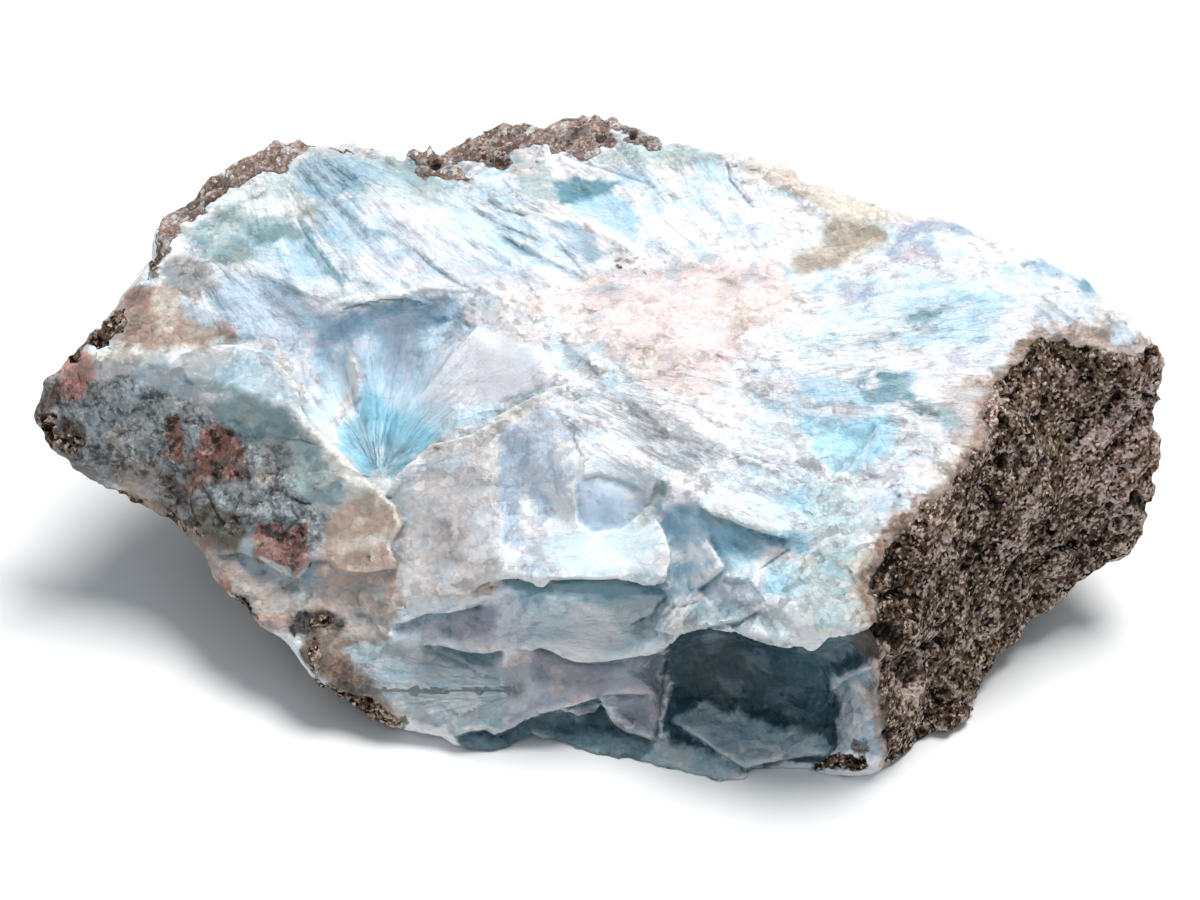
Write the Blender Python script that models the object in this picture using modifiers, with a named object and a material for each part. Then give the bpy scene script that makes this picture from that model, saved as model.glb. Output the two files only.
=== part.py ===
"""A rough piece of larimar: a blue and white fibrous core that still carries its brown volcanic rind.

One natural stone in one solid, lying on a flat cut. Metres, +Z up, the origin at the middle of the
base. The top and front are laid out in a viewing frame, as they are seen from the front and above:
each place is given across and down in that frame, and then by its real height above the base.
"""
import math

import bmesh
import bpy
from mathutils import Vector, geometry, noise

# Driving dimensions, metres
STONE_LENGTH = 0.150
BASE_SINK = 0.0016
CUTTER_DEPTH = 0.020

# The viewing frame: 1200 by 900 units, in which the stone spans this many units across
VIEW_DISTANCE = 0.550
VIEW_TARGET_HEIGHT = 0.030
VIEW_ELEVATION = math.radians(40.0)
FRAME_CENTRE_ACROSS = 600.0
FRAME_CENTRE_DOWN = 450.0
STONE_SPAN_IN_FRAME = 1136.0
FRAME_FOCAL = VIEW_DISTANCE / STONE_LENGTH * STONE_SPAN_IN_FRAME

# Surface relief, metres
SKIN_VOXEL = 0.00125
SWELL = 0.0006
LUMP_SIZE = 0.0085
LUMP_RELIEF = 0.0011
CHIP_SIZE = 0.0032
CHIP_RELIEF = 0.00045
FAN_RELIEF = 0.0008
TRIANGLES_BEFORE_CUT = 11500

# How sharp the cage's edges stay where no line says more, from 0 to 1
SOFTEST_EDGE = 0.55
OUTLINE_EDGE = 0.95

# In units of the viewing frame: how softly the rind begins, how near two lines must pass to cross,
# and how near two places must be to be one
RIND_BLEND = 12.0
CROSSING_REACH = 0.5
MERGE_REACH = 0.01

MM = 0.001

# The stone's outline seen from the front, clockwise from the left tip: across, down, height in mm
OUTLINE = [
    (33, 405, 27), (42, 385, 30), (60, 362, 33), (72, 350, 35), (90, 336, 36.5), (105, 322, 37.5),
    (130, 290, 39), (150, 267, 40.5), (154, 235, 41.5), (163, 217, 42), (195, 200, 43), (202, 180, 44.5),
    (225, 167, 45), (252, 152, 46), (285, 136, 47), (322, 144, 47), (355, 138, 47.5), (395, 151, 47),
    (420, 148, 47), (450, 146, 47.5), (480, 128, 48), (503, 121, 48.5), (540, 116, 49), (595, 114, 49),
    (650, 129, 48.5), (700, 142, 48), (740, 153, 47.5), (775, 164, 47), (815, 187, 46), (870, 198, 46),
    (925, 217, 45.5), (970, 227, 45), (1020, 245, 44.5), (1058, 265, 44), (1085, 276, 43),
    (1105, 298, 42), (1135, 317, 41), (1150, 337, 39.5), (1160, 358, 38), (1169, 390, 34),
    (1164, 415, 30), (1164, 440, 27), (1153, 480, 22), (1154, 508, 17), (1135, 542, 12), (1112, 562, 9),
    (1080, 582, 7), (1058, 615, 5), (1015, 633, 4), (1000, 650, 3.5), (985, 680, 2), (968, 715, 1),
    (958, 732, 0.5), (915, 745, 0), (885, 765, 0), (865, 779, 0), (825, 778, 0), (795, 772, 0),
    (755, 772, 0), (740, 785, 0), (700, 777, 0), (640, 764, 0), (580, 752, 0), (533, 740, 1),
    (500, 754, 0), (470, 752, 0.5), (440, 737, 1.5), (400, 723, 3), (350, 702, 5), (320, 685, 7),
    (303, 662, 9), (290, 641, 10), (262, 628, 11), (237, 598, 12.5), (212, 578, 13.5), (203, 550, 15),
    (180, 525, 15), (140, 503, 16), (105, 498, 16), (80, 482, 18), (50, 460, 22), (35, 430, 25),
]

# Ridges, rims and valleys of the top and the front: how sharp the line is, from 0 for a soft swell
# to 1 for a broken edge, and its places as across, down and height in mm
LINES = {
    "lobe rim": (0.8, [
        (72, 353, 34.6), (100, 350, 36), (155, 352, 37), (200, 347, 37.5), (240, 344, 37.5),
        (275, 357, 36.5), (298, 384, 34.5), (302, 420, 31.5), (325, 445, 29.8), (350, 468, 28.2),
        (378, 485, 26.6)]),
    "lobe shoulder": (0.5, [
        (95, 366, 34.5), (150, 363, 35.4), (200, 369, 35.2), (232, 369, 35.2), (252, 391, 33.6),
        (290, 415, 31.6), (304, 428, 30.2)]),
    "lobe face upper": (0.2, [
        (60, 400, 28.5), (100, 405, 29.5), (150, 410, 30), (200, 420, 29.5), (250, 432, 28.5),
        (290, 452, 27)]),
    "lobe face lower": (0.2, [
        (58, 438, 24), (100, 450, 22.5), (150, 465, 22), (200, 480, 22), (245, 490, 22.5),
        (300, 500, 23.5), (345, 505, 23.5)]),
    "lobe foot": (0.8, [
        (110, 489, 17), (150, 497, 17), (180, 512, 16.4), (210, 538, 16.2), (240, 545, 16.8),
        (268, 556, 17), (298, 573, 16.2), (315, 556, 18), (340, 570, 17.6), (395, 570, 18.2)]),
    "lobe undercut": (0.6, [
        (215, 556, 13.8), (245, 563, 14), (270, 575, 13.8), (298, 590, 13.4), (340, 588, 14.6),
        (395, 588, 15.6)]),
    "tan ledge": (0.7, [
        (378, 485, 26.6), (392, 498, 25.2), (402, 525, 22.8), (388, 541, 21), (395, 570, 18.2)]),
    "rind heap": (0.3, [
        (115, 330, 38), (145, 300, 40), (170, 280, 41), (185, 310, 40), (215, 322, 39.4),
        (235, 337, 38.2)]),
    "rind step": (0.5, [
        (168, 240, 42), (185, 268, 41.5), (205, 290, 41), (222, 318, 39.8)]),
    "crest": (0.7, [
        (205, 287, 41.2), (240, 275, 42), (270, 277, 42.2), (310, 297, 41.2), (350, 303, 41),
        (400, 297, 41.4), (425, 290, 41.8), (480, 290, 42), (505, 300, 41.6), (540, 325, 40.6)]),
    "crest foot": (0.3, [
        (235, 330, 38.6), (270, 338, 37.4), (305, 332, 37), (330, 325, 37.6), (375, 316, 38.6),
        (420, 304, 40), (455, 302, 40.4)]),
    "hollow left wall": (0.5, [
        (305, 332, 37), (316, 352, 34), (318, 385, 31), (322, 415, 29), (340, 440, 27.4),
        (360, 462, 25.8), (377, 480, 25)]),
    "hollow fan one": (0.2, [
        (345, 330, 36), (355, 370, 31.4), (362, 410, 28), (370, 450, 25.8), (377, 480, 25)]),
    "hollow fan two": (0.2, [
        (390, 322, 37), (388, 370, 31.6), (384, 420, 27.6), (380, 455, 25.6), (377, 480, 25)]),
    "hollow fan three": (0.2, [
        (440, 318, 38), (425, 360, 33.6), (408, 400, 29.8), (392, 440, 26.6), (377, 480, 25)]),
    "hollow right rim": (0.4, [
        (475, 322, 38.6), (458, 345, 37), (438, 375, 34.6), (418, 402, 31.8), (402, 432, 28.8),
        (390, 462, 26.4)]),
    "hollow spur": (0.6, [
        (345, 357, 34.4), (360, 362, 34.8), (361, 388, 31.6), (350, 408, 29.4), (332, 424, 28.4)]),
    "lens": (0.3, [
        (480, 350, 38.4), (520, 352, 39.6), (545, 375, 39)]),
    "spur crest": (0.8, [
        (378, 485, 26.6), (398, 472, 27.6), (420, 455, 29.4), (458, 443, 31.8), (482, 430, 33),
        (502, 414, 34.4), (522, 403, 35.8), (550, 393, 38)]),
    "spur face": (0.2, [
        (402, 525, 22.8), (430, 500, 26.2), (470, 480, 29), (510, 450, 32), (550, 430, 34.4)]),
    "spur face lower": (0.2, [
        (400, 560, 19.6), (440, 545, 22), (490, 530, 25), (530, 500, 27.6)]),
    "centre ridge": (0.3, [
        (545, 330, 40.6), (575, 358, 39.8), (600, 385, 38.2), (640, 398, 37.6), (680, 420, 36.4),
        (730, 455, 34), (775, 470, 33), (812, 487, 32)]),
    "fringe ridge": (0.6, [
        (556, 418, 36.2), (562, 445, 34.2), (572, 470, 32.4), (577, 500, 29.6), (578, 527, 26)]),
    "bowl lip": (0.5, [
        (572, 470, 32.4), (600, 452, 33.8), (640, 462, 32.4), (653, 480, 31.2)]),
    "bowl foot": (0.5, [
        (578, 527, 26), (610, 529, 25.4), (638, 514, 26.4), (654, 500, 28.2)]),
    "front ledge rim": (1.0, [
        (400, 604, 15.6), (440, 600, 17.4), (470, 590, 19.6), (505, 577, 22), (543, 585, 22.2),
        (600, 580, 23.2), (650, 585, 23), (662, 582, 23.2), (669, 558, 24.8), (661, 524, 27)]),
    "front ledge foot": (0.5, [
        (403, 612, 13.8), (440, 609, 15), (473, 602, 16), (507, 592, 17), (545, 598, 17.2),
        (600, 594, 17.8), (650, 598, 17.8), (668, 592, 18.6), (678, 566, 21.4), (672, 530, 25)]),
    "nub": (0.5, [
        (653, 480, 31.2), (668, 482, 31.4), (664, 503, 29.8), (654, 500, 28.2)]),
    "slab edge": (0.8, [
        (684, 498, 31), (712, 512, 31), (745, 527, 30.4), (790, 538, 29.8)]),
    "slab foot": (0.5, [
        (684, 514, 28.2), (712, 545, 26.4), (745, 556, 26), (790, 550, 27.2)]),
    "small ridge": (0.7, [
        (702, 538, 27.6), (716, 560, 26.4), (730, 580, 25.2), (747, 577, 25.8), (765, 600, 24.8)]),
    "small ridge foot": (0.4, [
        (684, 570, 23), (700, 588, 22), (722, 600, 21.6), (752, 611, 22)]),
    "roll fold": (0.6, [
        (632, 629, 13.4), (655, 617, 15.6), (670, 603, 18), (700, 600, 20.6)]),
    "cavity rim": (1.0, [
        (600, 655, 10.6), (640, 656, 11.6), (662, 648, 14), (685, 633, 18.2), (715, 630, 20.4),
        (745, 633, 21.2), (780, 646, 20.8), (808, 650, 20.6), (830, 639, 22), (850, 636, 23.2),
        (872, 630, 24.8)]),
    "cavity roof": (0.4, [
        (672, 656, 9.4), (690, 645, 9.8), (720, 641, 10.2), (750, 645, 10.4), (785, 657, 10),
        (812, 661, 10.4), (835, 652, 12.4), (858, 650, 15)]),
    "cavity back": (0.3, [
        (668, 690, 4.4), (700, 690, 3.8), (740, 690, 4.2), (790, 690, 5), (825, 682, 7.6)]),
    "cavity floor": (0.5, [
        (664, 733, 1.6), (690, 735, 1.8), (712, 747, 1.8), (740, 766, 1.2), (785, 757, 1.6),
        (828, 752, 1.8)]),
    "cavity block": (0.5, [
        (832, 676, 12.4), (858, 668, 15.6), (880, 700, 12.6), (880, 750, 5), (838, 750, 4)]),
    "step rim": (0.8, [
        (415, 645, 10.6), (450, 648, 11), (490, 653, 11.4), (540, 649, 12.6), (566, 661, 11.6),
        (600, 663, 11.6), (640, 658, 12)]),
    "step foot": (0.4, [
        (412, 656, 8.6), (450, 660, 8.8), (490, 664, 9), (540, 661, 9.6), (568, 671, 8.8),
        (605, 673, 8.8), (640, 668, 9.4)]),
    "plate rim": (0.9, [
        (450, 733, 2.4), (485, 728, 3.2), (502, 731, 3), (530, 715, 4.8), (570, 705, 6),
        (610, 698, 7), (652, 692, 7.8)]),
    "plate foot": (0.5, [
        (505, 741, 0.6), (532, 727, 1.2), (572, 718, 2), (612, 712, 2.4), (650, 708, 2.8)]),
    "plate edge": (0.9, [
        (652, 692, 7.8), (657, 722, 4), (650, 742, 1.6)]),
    "cleft": (0.7, [
        (668, 656, 8.6), (667, 690, 4.4), (662, 728, 1.4)]),
    "quartz face": (0.3, [
        (225, 575, 13.6), (262, 600, 12.4), (320, 625, 12), (370, 645, 10.6), (412, 656, 8.6)]),
    "lower left face": (0.3, [
        (300, 650, 9.8), (345, 672, 8), (395, 695, 6.2), (440, 712, 4.4)]),
    "valley one": (0.2, [
        (297, 215, 43.2), (318, 250, 41.8), (350, 296, 40.8)]),
    "plateau left": (0.2, [
        (235, 200, 44.2), (250, 235, 43.4), (262, 268, 42.4)]),
    "plateau fold": (0.3, [
        (350, 180, 45.6), (385, 215, 44.8), (430, 250, 44), (470, 284, 42.4)]),
    "back crust foot": (0.4, [
        (405, 158, 46), (440, 170, 45.4), (468, 182, 44.8), (497, 168, 45.4), (520, 150, 46.6),
        (560, 141, 47.4), (585, 150, 46.6), (615, 133, 47.6), (655, 133, 47.8)]),
    "middle valley": (0.3, [
        (460, 198, 44), (500, 226, 43.2), (560, 262, 42.4), (600, 281, 42)]),
    "middle ridge": (0.4, [
        (490, 193, 45.4), (530, 205, 45), (570, 216, 44.4), (600, 226, 43.8), (632, 246, 43)]),
    "scallop": (0.3, [
        (556, 180, 45), (580, 205, 43.2), (612, 208, 43.2), (650, 205, 44.4)]),
    "back crack": (0.5, [
        (725, 162, 46.6), (736, 182, 45.6), (756, 212, 44.6)]),
    "stain hollow": (0.2, [
        (790, 210, 44.4), (830, 240, 43.4), (870, 255, 43.4)]),
    "plateau right": (0.2, [
        (780, 320, 42), (850, 340, 41.6), (920, 330, 42.4), (990, 300, 43.6), (1050, 290, 43.4)]),
    "plateau right low": (0.2, [
        (720, 370, 39.4), (790, 400, 38.4), (870, 420, 38), (930, 400, 39.6)]),
    "cyan slope": (0.2, [
        (800, 450, 35), (860, 480, 34), (900, 470, 35.4)]),
    "right slope": (0.3, [
        (800, 585, 26.6), (845, 592, 27)]),
    "rind edge": (0.6, [
        (1148, 350, 38.8), (1130, 358, 39), (1108, 362, 39.6), (1070, 338, 41.4), (1035, 345, 41.4),
        (1005, 368, 40.6), (986, 395, 39.6), (985, 430, 37.8), (972, 455, 36.4), (950, 485, 34.8),
        (922, 508, 33.6), (900, 532, 32), (878, 560, 30), (872, 590, 27.8), (880, 612, 26),
        (872, 630, 24.8)]),
    "rind face one": (0.3, [
        (1130, 400, 33.4), (1070, 410, 34), (1030, 440, 32.6), (1000, 500, 28.6), (950, 560, 24),
        (925, 620, 18)]),
    "rind face two": (0.3, [
        (1125, 450, 26.8), (1080, 480, 25), (1040, 530, 19.6), (990, 590, 14), (950, 650, 9.4),
        (925, 700, 5.4)]),
    "rind hollow": (0.3, [
        (1110, 510, 18), (1070, 550, 12.6), (1030, 600, 7.4)]),
    "rind front edge": (0.5, [
        (872, 630, 24.8), (876, 652, 20.6), (884, 700, 12.6), (892, 745, 3.6)]),
}

# Where the fibres fan out: the fan's point, the middle of the fan and how far it reaches from there,
# all across and down in the frame, and the angle between its ridges in degrees
FANS = {
    "plateau": ((225, 90), (430, 220), (240, 95), 6.0),
    "hollow": ((377, 486), (395, 400), (90, 95), 10.0),
    "right slope": ((470, 330), (750, 430), (140, 75), 5.0),
    "front low": ((510, 690), (440, 668), (80, 45), 11.0),
}

# Single places between the lines: across, down, height in mm
PLACES = [
    (620, 330, 41.6), (680, 300, 42.4), (690, 360, 40.4), (740, 260, 43.4), (660, 240, 43.8),
    (720, 215, 44.8), (660, 170, 46.2), (900, 260, 44), (960, 270, 44.4), (1010, 340, 42.6),
    (560, 300, 41.4), (420, 200, 45), (860, 380, 40), (940, 360, 41.2), (700, 470, 32.6),
    (760, 500, 31.6), (850, 530, 31), (820, 620, 24.4), (300, 170, 45.6), (260, 300, 40),
    (610, 420, 34.8), (520, 440, 34), (540, 540, 25), (590, 560, 24.2), (450, 575, 19.6),
    (700, 616, 20.8), (610, 625, 13.8), (540, 625, 14.6), (460, 628, 13), (350, 610, 12.4),
    (480, 690, 7), (560, 690, 7.4), (1100, 330, 41.2), (590, 735, 0.8), (770, 700, 3.4),
]

# The hidden back in the world, as three belts round the rear: x, y, z in mm
BACK_BELTS = [
    (-67, 20, 30), (-62, 29, 34), (-55, 39, 36), (-44, 46, 36), (-34, 46.5, 38), (-22, 44, 38),
    (-12, 49.5, 38), (2, 49.5, 40), (10, 46, 36), (20, 43, 39), (33, 36.5, 36), (45, 31, 36),
    (57, 26.5, 35), (66, 21, 33), (72, 14, 31),
    (-66, 16, 22), (-60, 26, 21), (-53, 37, 22), (-40, 44.5, 21), (-26, 43, 22), (-12, 47.5, 22),
    (2, 47.5, 20), (14, 42.5, 22), (28, 37.5, 20), (40, 33.5, 22), (52, 28, 20), (63, 22, 19),
    (70, 13, 18),
    (-58, 13, 10), (-55, 24, 9), (-48, 35, 8), (-36, 41, 9), (-22, 40, 7), (-8, 44, 9), (6, 43, 8),
    (20, 38, 9), (34, 33, 7), (46, 28, 9), (57, 21, 8), (64, 10, 8),
]

# The part of the underside that the stone rests on, seen from above: x, y in mm
RESTING_PLACES = [
    (-48, 10), (-46, 22), (-40, 31), (-28, 36), (-12, 39), (4, 39), (18, 34), (32, 29), (44, 23),
    (54, 14), (56, 4), (52, -4), (46, -14), (38, -24), (30, -26), (16, -27), (0, -23.5), (-14, -22),
    (-28, -17), (-35, -10), (-40, 2), (-20, 5), (0, 0), (20, 5), (30, -10), (-12, -10), (6, 20),
]


def view_axes():
    """Right, up and forward of the viewing frame."""
    right = Vector((1.0, 0.0, 0.0))
    up = Vector((0.0, math.sin(VIEW_ELEVATION), math.cos(VIEW_ELEVATION)))
    forward = Vector((0.0, math.cos(VIEW_ELEVATION), -math.sin(VIEW_ELEVATION)))
    return right, up, forward


def eye_point():
    return Vector((0.0, 0.0, VIEW_TARGET_HEIGHT)) - view_axes()[2] * VIEW_DISTANCE


def at_height(across, down, height_mm):
    """The world point seen at this place of the viewing frame, at this height above the base."""
    right, up, forward = view_axes()
    ray = (forward
           + right * ((across - FRAME_CENTRE_ACROSS) / FRAME_FOCAL)
           + up * ((FRAME_CENTRE_DOWN - down) / FRAME_FOCAL))
    eye = eye_point()
    return eye + ray * ((height_mm * MM - eye.z) / ray.z)


def in_frame(point):
    """Where a world point is seen in the viewing frame."""
    right, up, forward = view_axes()
    offset = point - eye_point()
    depth = offset.dot(forward)
    return Vector((
        FRAME_CENTRE_ACROSS + FRAME_FOCAL * offset.dot(right) / depth,
        FRAME_CENTRE_DOWN - FRAME_FOCAL * offset.dot(up) / depth,
    ))


def crossing_point(place, edges, flat, verts):
    """The world point where two lines cross at this place of the frame, midway between the two."""
    found = []
    for first, second in edges:
        along = flat[second] - flat[first]
        share = (place - flat[first]).dot(along) / along.length_squared
        if 0.0 < share < 1.0 and (flat[first] + along * share - place).length < CROSSING_REACH:
            found.append(verts[first].co.lerp(verts[second].co, share))
    return sum(found, Vector()) / len(found)


def add_sheet(shape, crease, rim, lines, places):
    """One side of the cage: the outline's inside, triangulated through its lines and places."""
    verts = list(rim)
    flat = [in_frame(vert.co) for vert in rim]
    numbers = {tuple(vert.co): number for number, vert in enumerate(rim)}
    edges = [(number, (number + 1) % len(rim)) for number in range(len(rim))]
    sharpness = {number: OUTLINE_EDGE for number in range(len(rim))}

    def number_of(point):
        made = tuple(Vector(point))
        if made not in numbers:
            numbers[made] = len(verts)
            verts.append(shape.verts.new(point))
            flat.append(in_frame(point))
        return numbers[made]

    for sharp, points in lines:
        line = [number_of(point) for point in points]
        for edge in zip(line, line[1:]):
            edges.append(edge)
            sharpness[len(edges) - 1] = sharp
    for point in places:
        number_of(point)
    placed, ends, faces, sources, edge_sources, _ = geometry.delaunay_2d_cdt(
        flat, edges, [list(range(len(rim)))], 1, MERGE_REACH)
    corners = []
    for place, source in zip(placed, sources):
        if source:
            corners.append(verts[source[0]])
        else:
            corners.append(shape.verts.new(crossing_point(place, edges[len(rim):], flat, verts)))
    for face in faces:
        shape.faces.new([corners[index] for index in face])
    for (first, second), source in zip(ends, edge_sources):
        edge = shape.edges.get((corners[first], corners[second]))
        if edge is not None:
            edge[crease] = max([SOFTEST_EDGE] + [sharpness[one] for one in source if one in sharpness])


def stone_cage():
    """The coarse closed form: a front sheet and a back sheet that meet along the outline."""
    shape = bmesh.new()
    crease = shape.edges.layers.float.new("crease_edge")
    rim = [shape.verts.new(at_height(*place)) for place in OUTLINE]
    front = [(sharp, [at_height(*place) for place in places]) for sharp, places in LINES.values()]
    add_sheet(shape, crease, rim, front, [at_height(*place) for place in PLACES])
    back = [Vector(place) * MM for place in BACK_BELTS]
    back += [Vector((x * MM, y * MM, -BASE_SINK)) for x, y in RESTING_PLACES]
    add_sheet(shape, crease, rim, [], back)
    bmesh.ops.recalc_face_normals(shape, faces=shape.faces)
    mesh = bpy.data.meshes.new("larimar")
    shape.to_mesh(mesh)
    shape.free()
    return mesh


def smooth_share(value, low, high):
    """0 up to low, 1 from high, and a smooth rise between."""
    share = min(max((value - low) / (high - low), 0.0), 1.0)
    return share * share * (3.0 - 2.0 * share)


def rind_share(point, normal):
    """1 on the brown rind, 0 on the larimar: the back, the underside and the right end are rind."""
    place = in_frame(point)
    hidden = smooth_share(normal.dot(view_axes()[2]), -0.1, 0.25)
    beyond = 0.0
    edge = [Vector(corner[:2]) for corner in LINES["rind edge"][1] + LINES["rind front edge"][1][1:]]
    for upper, lower in zip(edge, edge[1:]):
        if upper.y <= place.y <= lower.y:
            share = (place.y - upper.y) / (lower.y - upper.y)
            beyond = smooth_share(place.x - upper.lerp(lower, share).x, -RIND_BLEND, RIND_BLEND)
    return max(hidden, beyond)


def fan_relief(point):
    """How far the fibre ridges stand out here, metres."""
    place = in_frame(point)
    relief = 0.0
    for number, (tip, middle, reach, pitch) in enumerate(FANS.values()):
        away = math.hypot((place.x - middle[0]) / reach[0], (place.y - middle[1]) / reach[1])
        share = 1.0 - smooth_share(away, 0.55, 1.0)
        angle = math.degrees(math.atan2(place.y - tip[1], place.x - tip[0]))
        relief += share * FAN_RELIEF * noise.noise(Vector((angle / pitch, 7.3 * number, away)))
    return relief


def weather(skin):
    """Lumps and pits on the rind and smaller chips on the larimar, pushed out along the normals."""
    moved = []
    for vert in skin.vertices:
        rind = rind_share(vert.co, vert.normal)
        lump = noise.fractal(vert.co / LUMP_SIZE, 1.0, 2.0, 3, noise_basis="PERLIN_ORIGINAL")
        nearest = noise.voronoi(vert.co / CHIP_SIZE)[0]
        pit = 0.5 - (nearest[1] - nearest[0])
        relief = SWELL + lump * LUMP_RELIEF * (0.45 + rind) - pit * CHIP_RELIEF * (0.6 + rind)
        relief += fan_relief(vert.co) * (1.0 - rind)
        moved.append(vert.co + vert.normal * relief)
    for vert, place in zip(skin.vertices, moved):
        vert.co = place


def plain_material(name, colour, roughness):
    material = bpy.data.materials.new(name)
    material.use_nodes = True
    shader = material.node_tree.nodes["Principled BSDF"]
    shader.inputs["Base Color"].default_value = (*colour, 1.0)
    shader.inputs["Roughness"].default_value = roughness
    shader.inputs["Metallic"].default_value = 0.0
    return material


def paint(stone):
    """Larimar on the broken top and front, rind elsewhere."""
    stone.data.materials.append(plain_material("larimar blue", (0.62, 0.80, 0.86), 0.45))
    stone.data.materials.append(plain_material("volcanic rind", (0.16, 0.11, 0.08), 0.85))
    for face in stone.data.polygons:
        face.material_index = round(rind_share(face.center, face.normal))


def new_collection(name):
    collection = bpy.data.collections.new(name)
    bpy.context.scene.collection.children.link(collection)
    return collection


def evaluated_mesh(stone):
    depsgraph = bpy.context.evaluated_depsgraph_get()
    return bpy.data.meshes.new_from_object(stone.evaluated_get(depsgraph))


def give_skin(stone):
    """Rounds the cage and covers it with even small faces, which can take the relief."""
    rounding = stone.modifiers.new("rounded cage", "SUBSURF")
    rounding.levels = 2
    rounding.render_levels = 2
    even = stone.modifiers.new("even skin", "REMESH")
    even.mode = "VOXEL"
    even.voxel_size = SKIN_VOXEL
    skin = evaluated_mesh(stone)
    stone.modifiers.clear()
    stone.data = skin


def thin_out(stone):
    """Fewer and larger faces where the surface is nearly flat."""
    triangles = sum(len(face.vertices) - 2 for face in stone.data.polygons)
    thin = stone.modifiers.new("fewer faces", "DECIMATE")
    thin.ratio = TRIANGLES_BEFORE_CUT / triangles


def cut_base(stone):
    """The flat that the stone rests on: everything below the base plane is cut away."""
    bpy.ops.mesh.primitive_cube_add(size=1.0, location=(0.0, 0.0, -CUTTER_DEPTH / 2))
    cutter = bpy.context.object
    cutter.name = "below the base"
    cutter.scale = (2 * STONE_LENGTH, 2 * STONE_LENGTH, CUTTER_DEPTH)
    cutter.hide_render = True
    cutter.display_type = "WIRE"
    for home in list(cutter.users_collection):
        home.objects.unlink(cutter)
    new_collection("cutters").objects.link(cutter)
    cut = stone.modifiers.new("flat base", "BOOLEAN")
    cut.operation = "DIFFERENCE"
    cut.solver = "EXACT"
    cut.object = cutter


def centre_on_base(stone):
    """Puts the middle of the stone's box, seen from above, over the origin."""
    corners = [Vector(corner) for corner in stone.evaluated_get(
        bpy.context.evaluated_depsgraph_get()).bound_box]
    stone.location.x = -(corners[0].x + corners[6].x) / 2
    stone.location.y = -(corners[0].y + corners[6].y) / 2


def main():
    for old in list(bpy.data.objects):
        bpy.data.objects.remove(old, do_unlink=True)
    stone = bpy.data.objects.new("larimar", stone_cage())
    new_collection("larimar stone").objects.link(stone)
    give_skin(stone)
    weather(stone.data)
    paint(stone)
    thin_out(stone)
    cut_base(stone)
    centre_on_base(stone)


main()
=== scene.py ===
import math

import bmesh
import bpy
import numpy as np
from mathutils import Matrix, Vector, bvhtree, noise


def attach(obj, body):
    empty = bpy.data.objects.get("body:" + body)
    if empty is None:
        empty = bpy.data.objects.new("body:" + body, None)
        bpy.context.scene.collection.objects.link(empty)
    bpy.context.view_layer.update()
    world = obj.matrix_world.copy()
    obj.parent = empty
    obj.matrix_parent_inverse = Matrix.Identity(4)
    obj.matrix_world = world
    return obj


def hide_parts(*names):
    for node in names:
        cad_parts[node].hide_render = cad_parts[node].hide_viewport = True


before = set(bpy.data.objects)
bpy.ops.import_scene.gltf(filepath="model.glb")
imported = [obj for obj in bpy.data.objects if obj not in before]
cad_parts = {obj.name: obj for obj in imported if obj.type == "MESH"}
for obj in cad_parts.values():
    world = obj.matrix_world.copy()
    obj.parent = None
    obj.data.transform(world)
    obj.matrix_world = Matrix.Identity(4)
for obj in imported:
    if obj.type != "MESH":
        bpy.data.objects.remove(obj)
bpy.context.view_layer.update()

# The viewing frame: 1200 by 900 units, seen from the front and above. It is the frame in which the
# CAD's ridges and rims were laid out, so a place across and down in it falls on the same spot.
VIEW_TARGET = Vector((0.00048, -0.00929, 0.030))
VIEW_DISTANCE = 0.550
VIEW_ELEVATION = math.radians(40.0)
FRAME_WIDTH = 1200.0
FRAME_CENTRE = (600.0, 450.0)
FRAME_FOCAL = VIEW_DISTANCE / 0.150 * 1136.0
METRES_PER_UNIT = VIEW_DISTANCE / FRAME_FOCAL
SENSOR_WIDTH = 36.0

RIGHT = Vector((1.0, 0.0, 0.0))
UP = Vector((0.0, math.sin(VIEW_ELEVATION), math.cos(VIEW_ELEVATION)))
FORWARD = Vector((0.0, math.cos(VIEW_ELEVATION), -math.sin(VIEW_ELEVATION)))
EYE = VIEW_TARGET - FORWARD * VIEW_DISTANCE

# The way the rind's folds run: up to the right as seen from the front
RIND_RUN = (0.57 * RIGHT + 0.82 * UP).normalized()

# The skin: how fine it is, and how many triangles it may keep
SKIN_VOXEL = 0.00042
SMOOTHING_STEPS = 3
MOST_TRIANGLES = 192000

# How many times the skin is smoothed to find what stands proud of it
BULGE_STEPS = 12

# Relief, metres; the splinters' width and length are in millimetres
PLATE_SIZE = 0.0065
PLATE_RELIEF = 0.00060
CHIP_SIZE = 0.0024
CHIP_RELIEF = 0.00036
SPLINTER_WIDTH = 1.7
SPLINTER_LENGTH = 8.0
SPLINTER_RELIEF = 0.00042
FIBRE_RELIEF = 0.00018
RIND_LUMP_SIZE = 0.0070
RIND_LUMP_RELIEF = 0.00075
RIND_FOLD_RELIEF = 0.00070
RIND_CHIP_SIZE = 0.0016
RIND_CHIP_RELIEF = 0.00035
RIND_PIT_SIZE = 0.0034
RIND_PIT_DEPTH = 0.0011
KNOB_SIZE = 0.0030
KNOB_RELIEF = 0.00050

# Where the brown rind begins on the front, down the boundary from the right end: across, down
RIND_EDGE = [
    (1150, 350), (1130, 358), (1108, 362), (1104, 350), (1096, 338), (1060, 340), (1042, 335),
    (1030, 350), (1008, 366), (990, 382), (985, 410), (988, 430), (974, 452), (955, 480), (943, 496),
    (922, 506), (903, 522), (892, 542), (880, 558), (871, 582), (881, 604), (883, 622), (870, 634),
    (878, 655), (884, 700), (892, 745), (900, 800),
]

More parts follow.
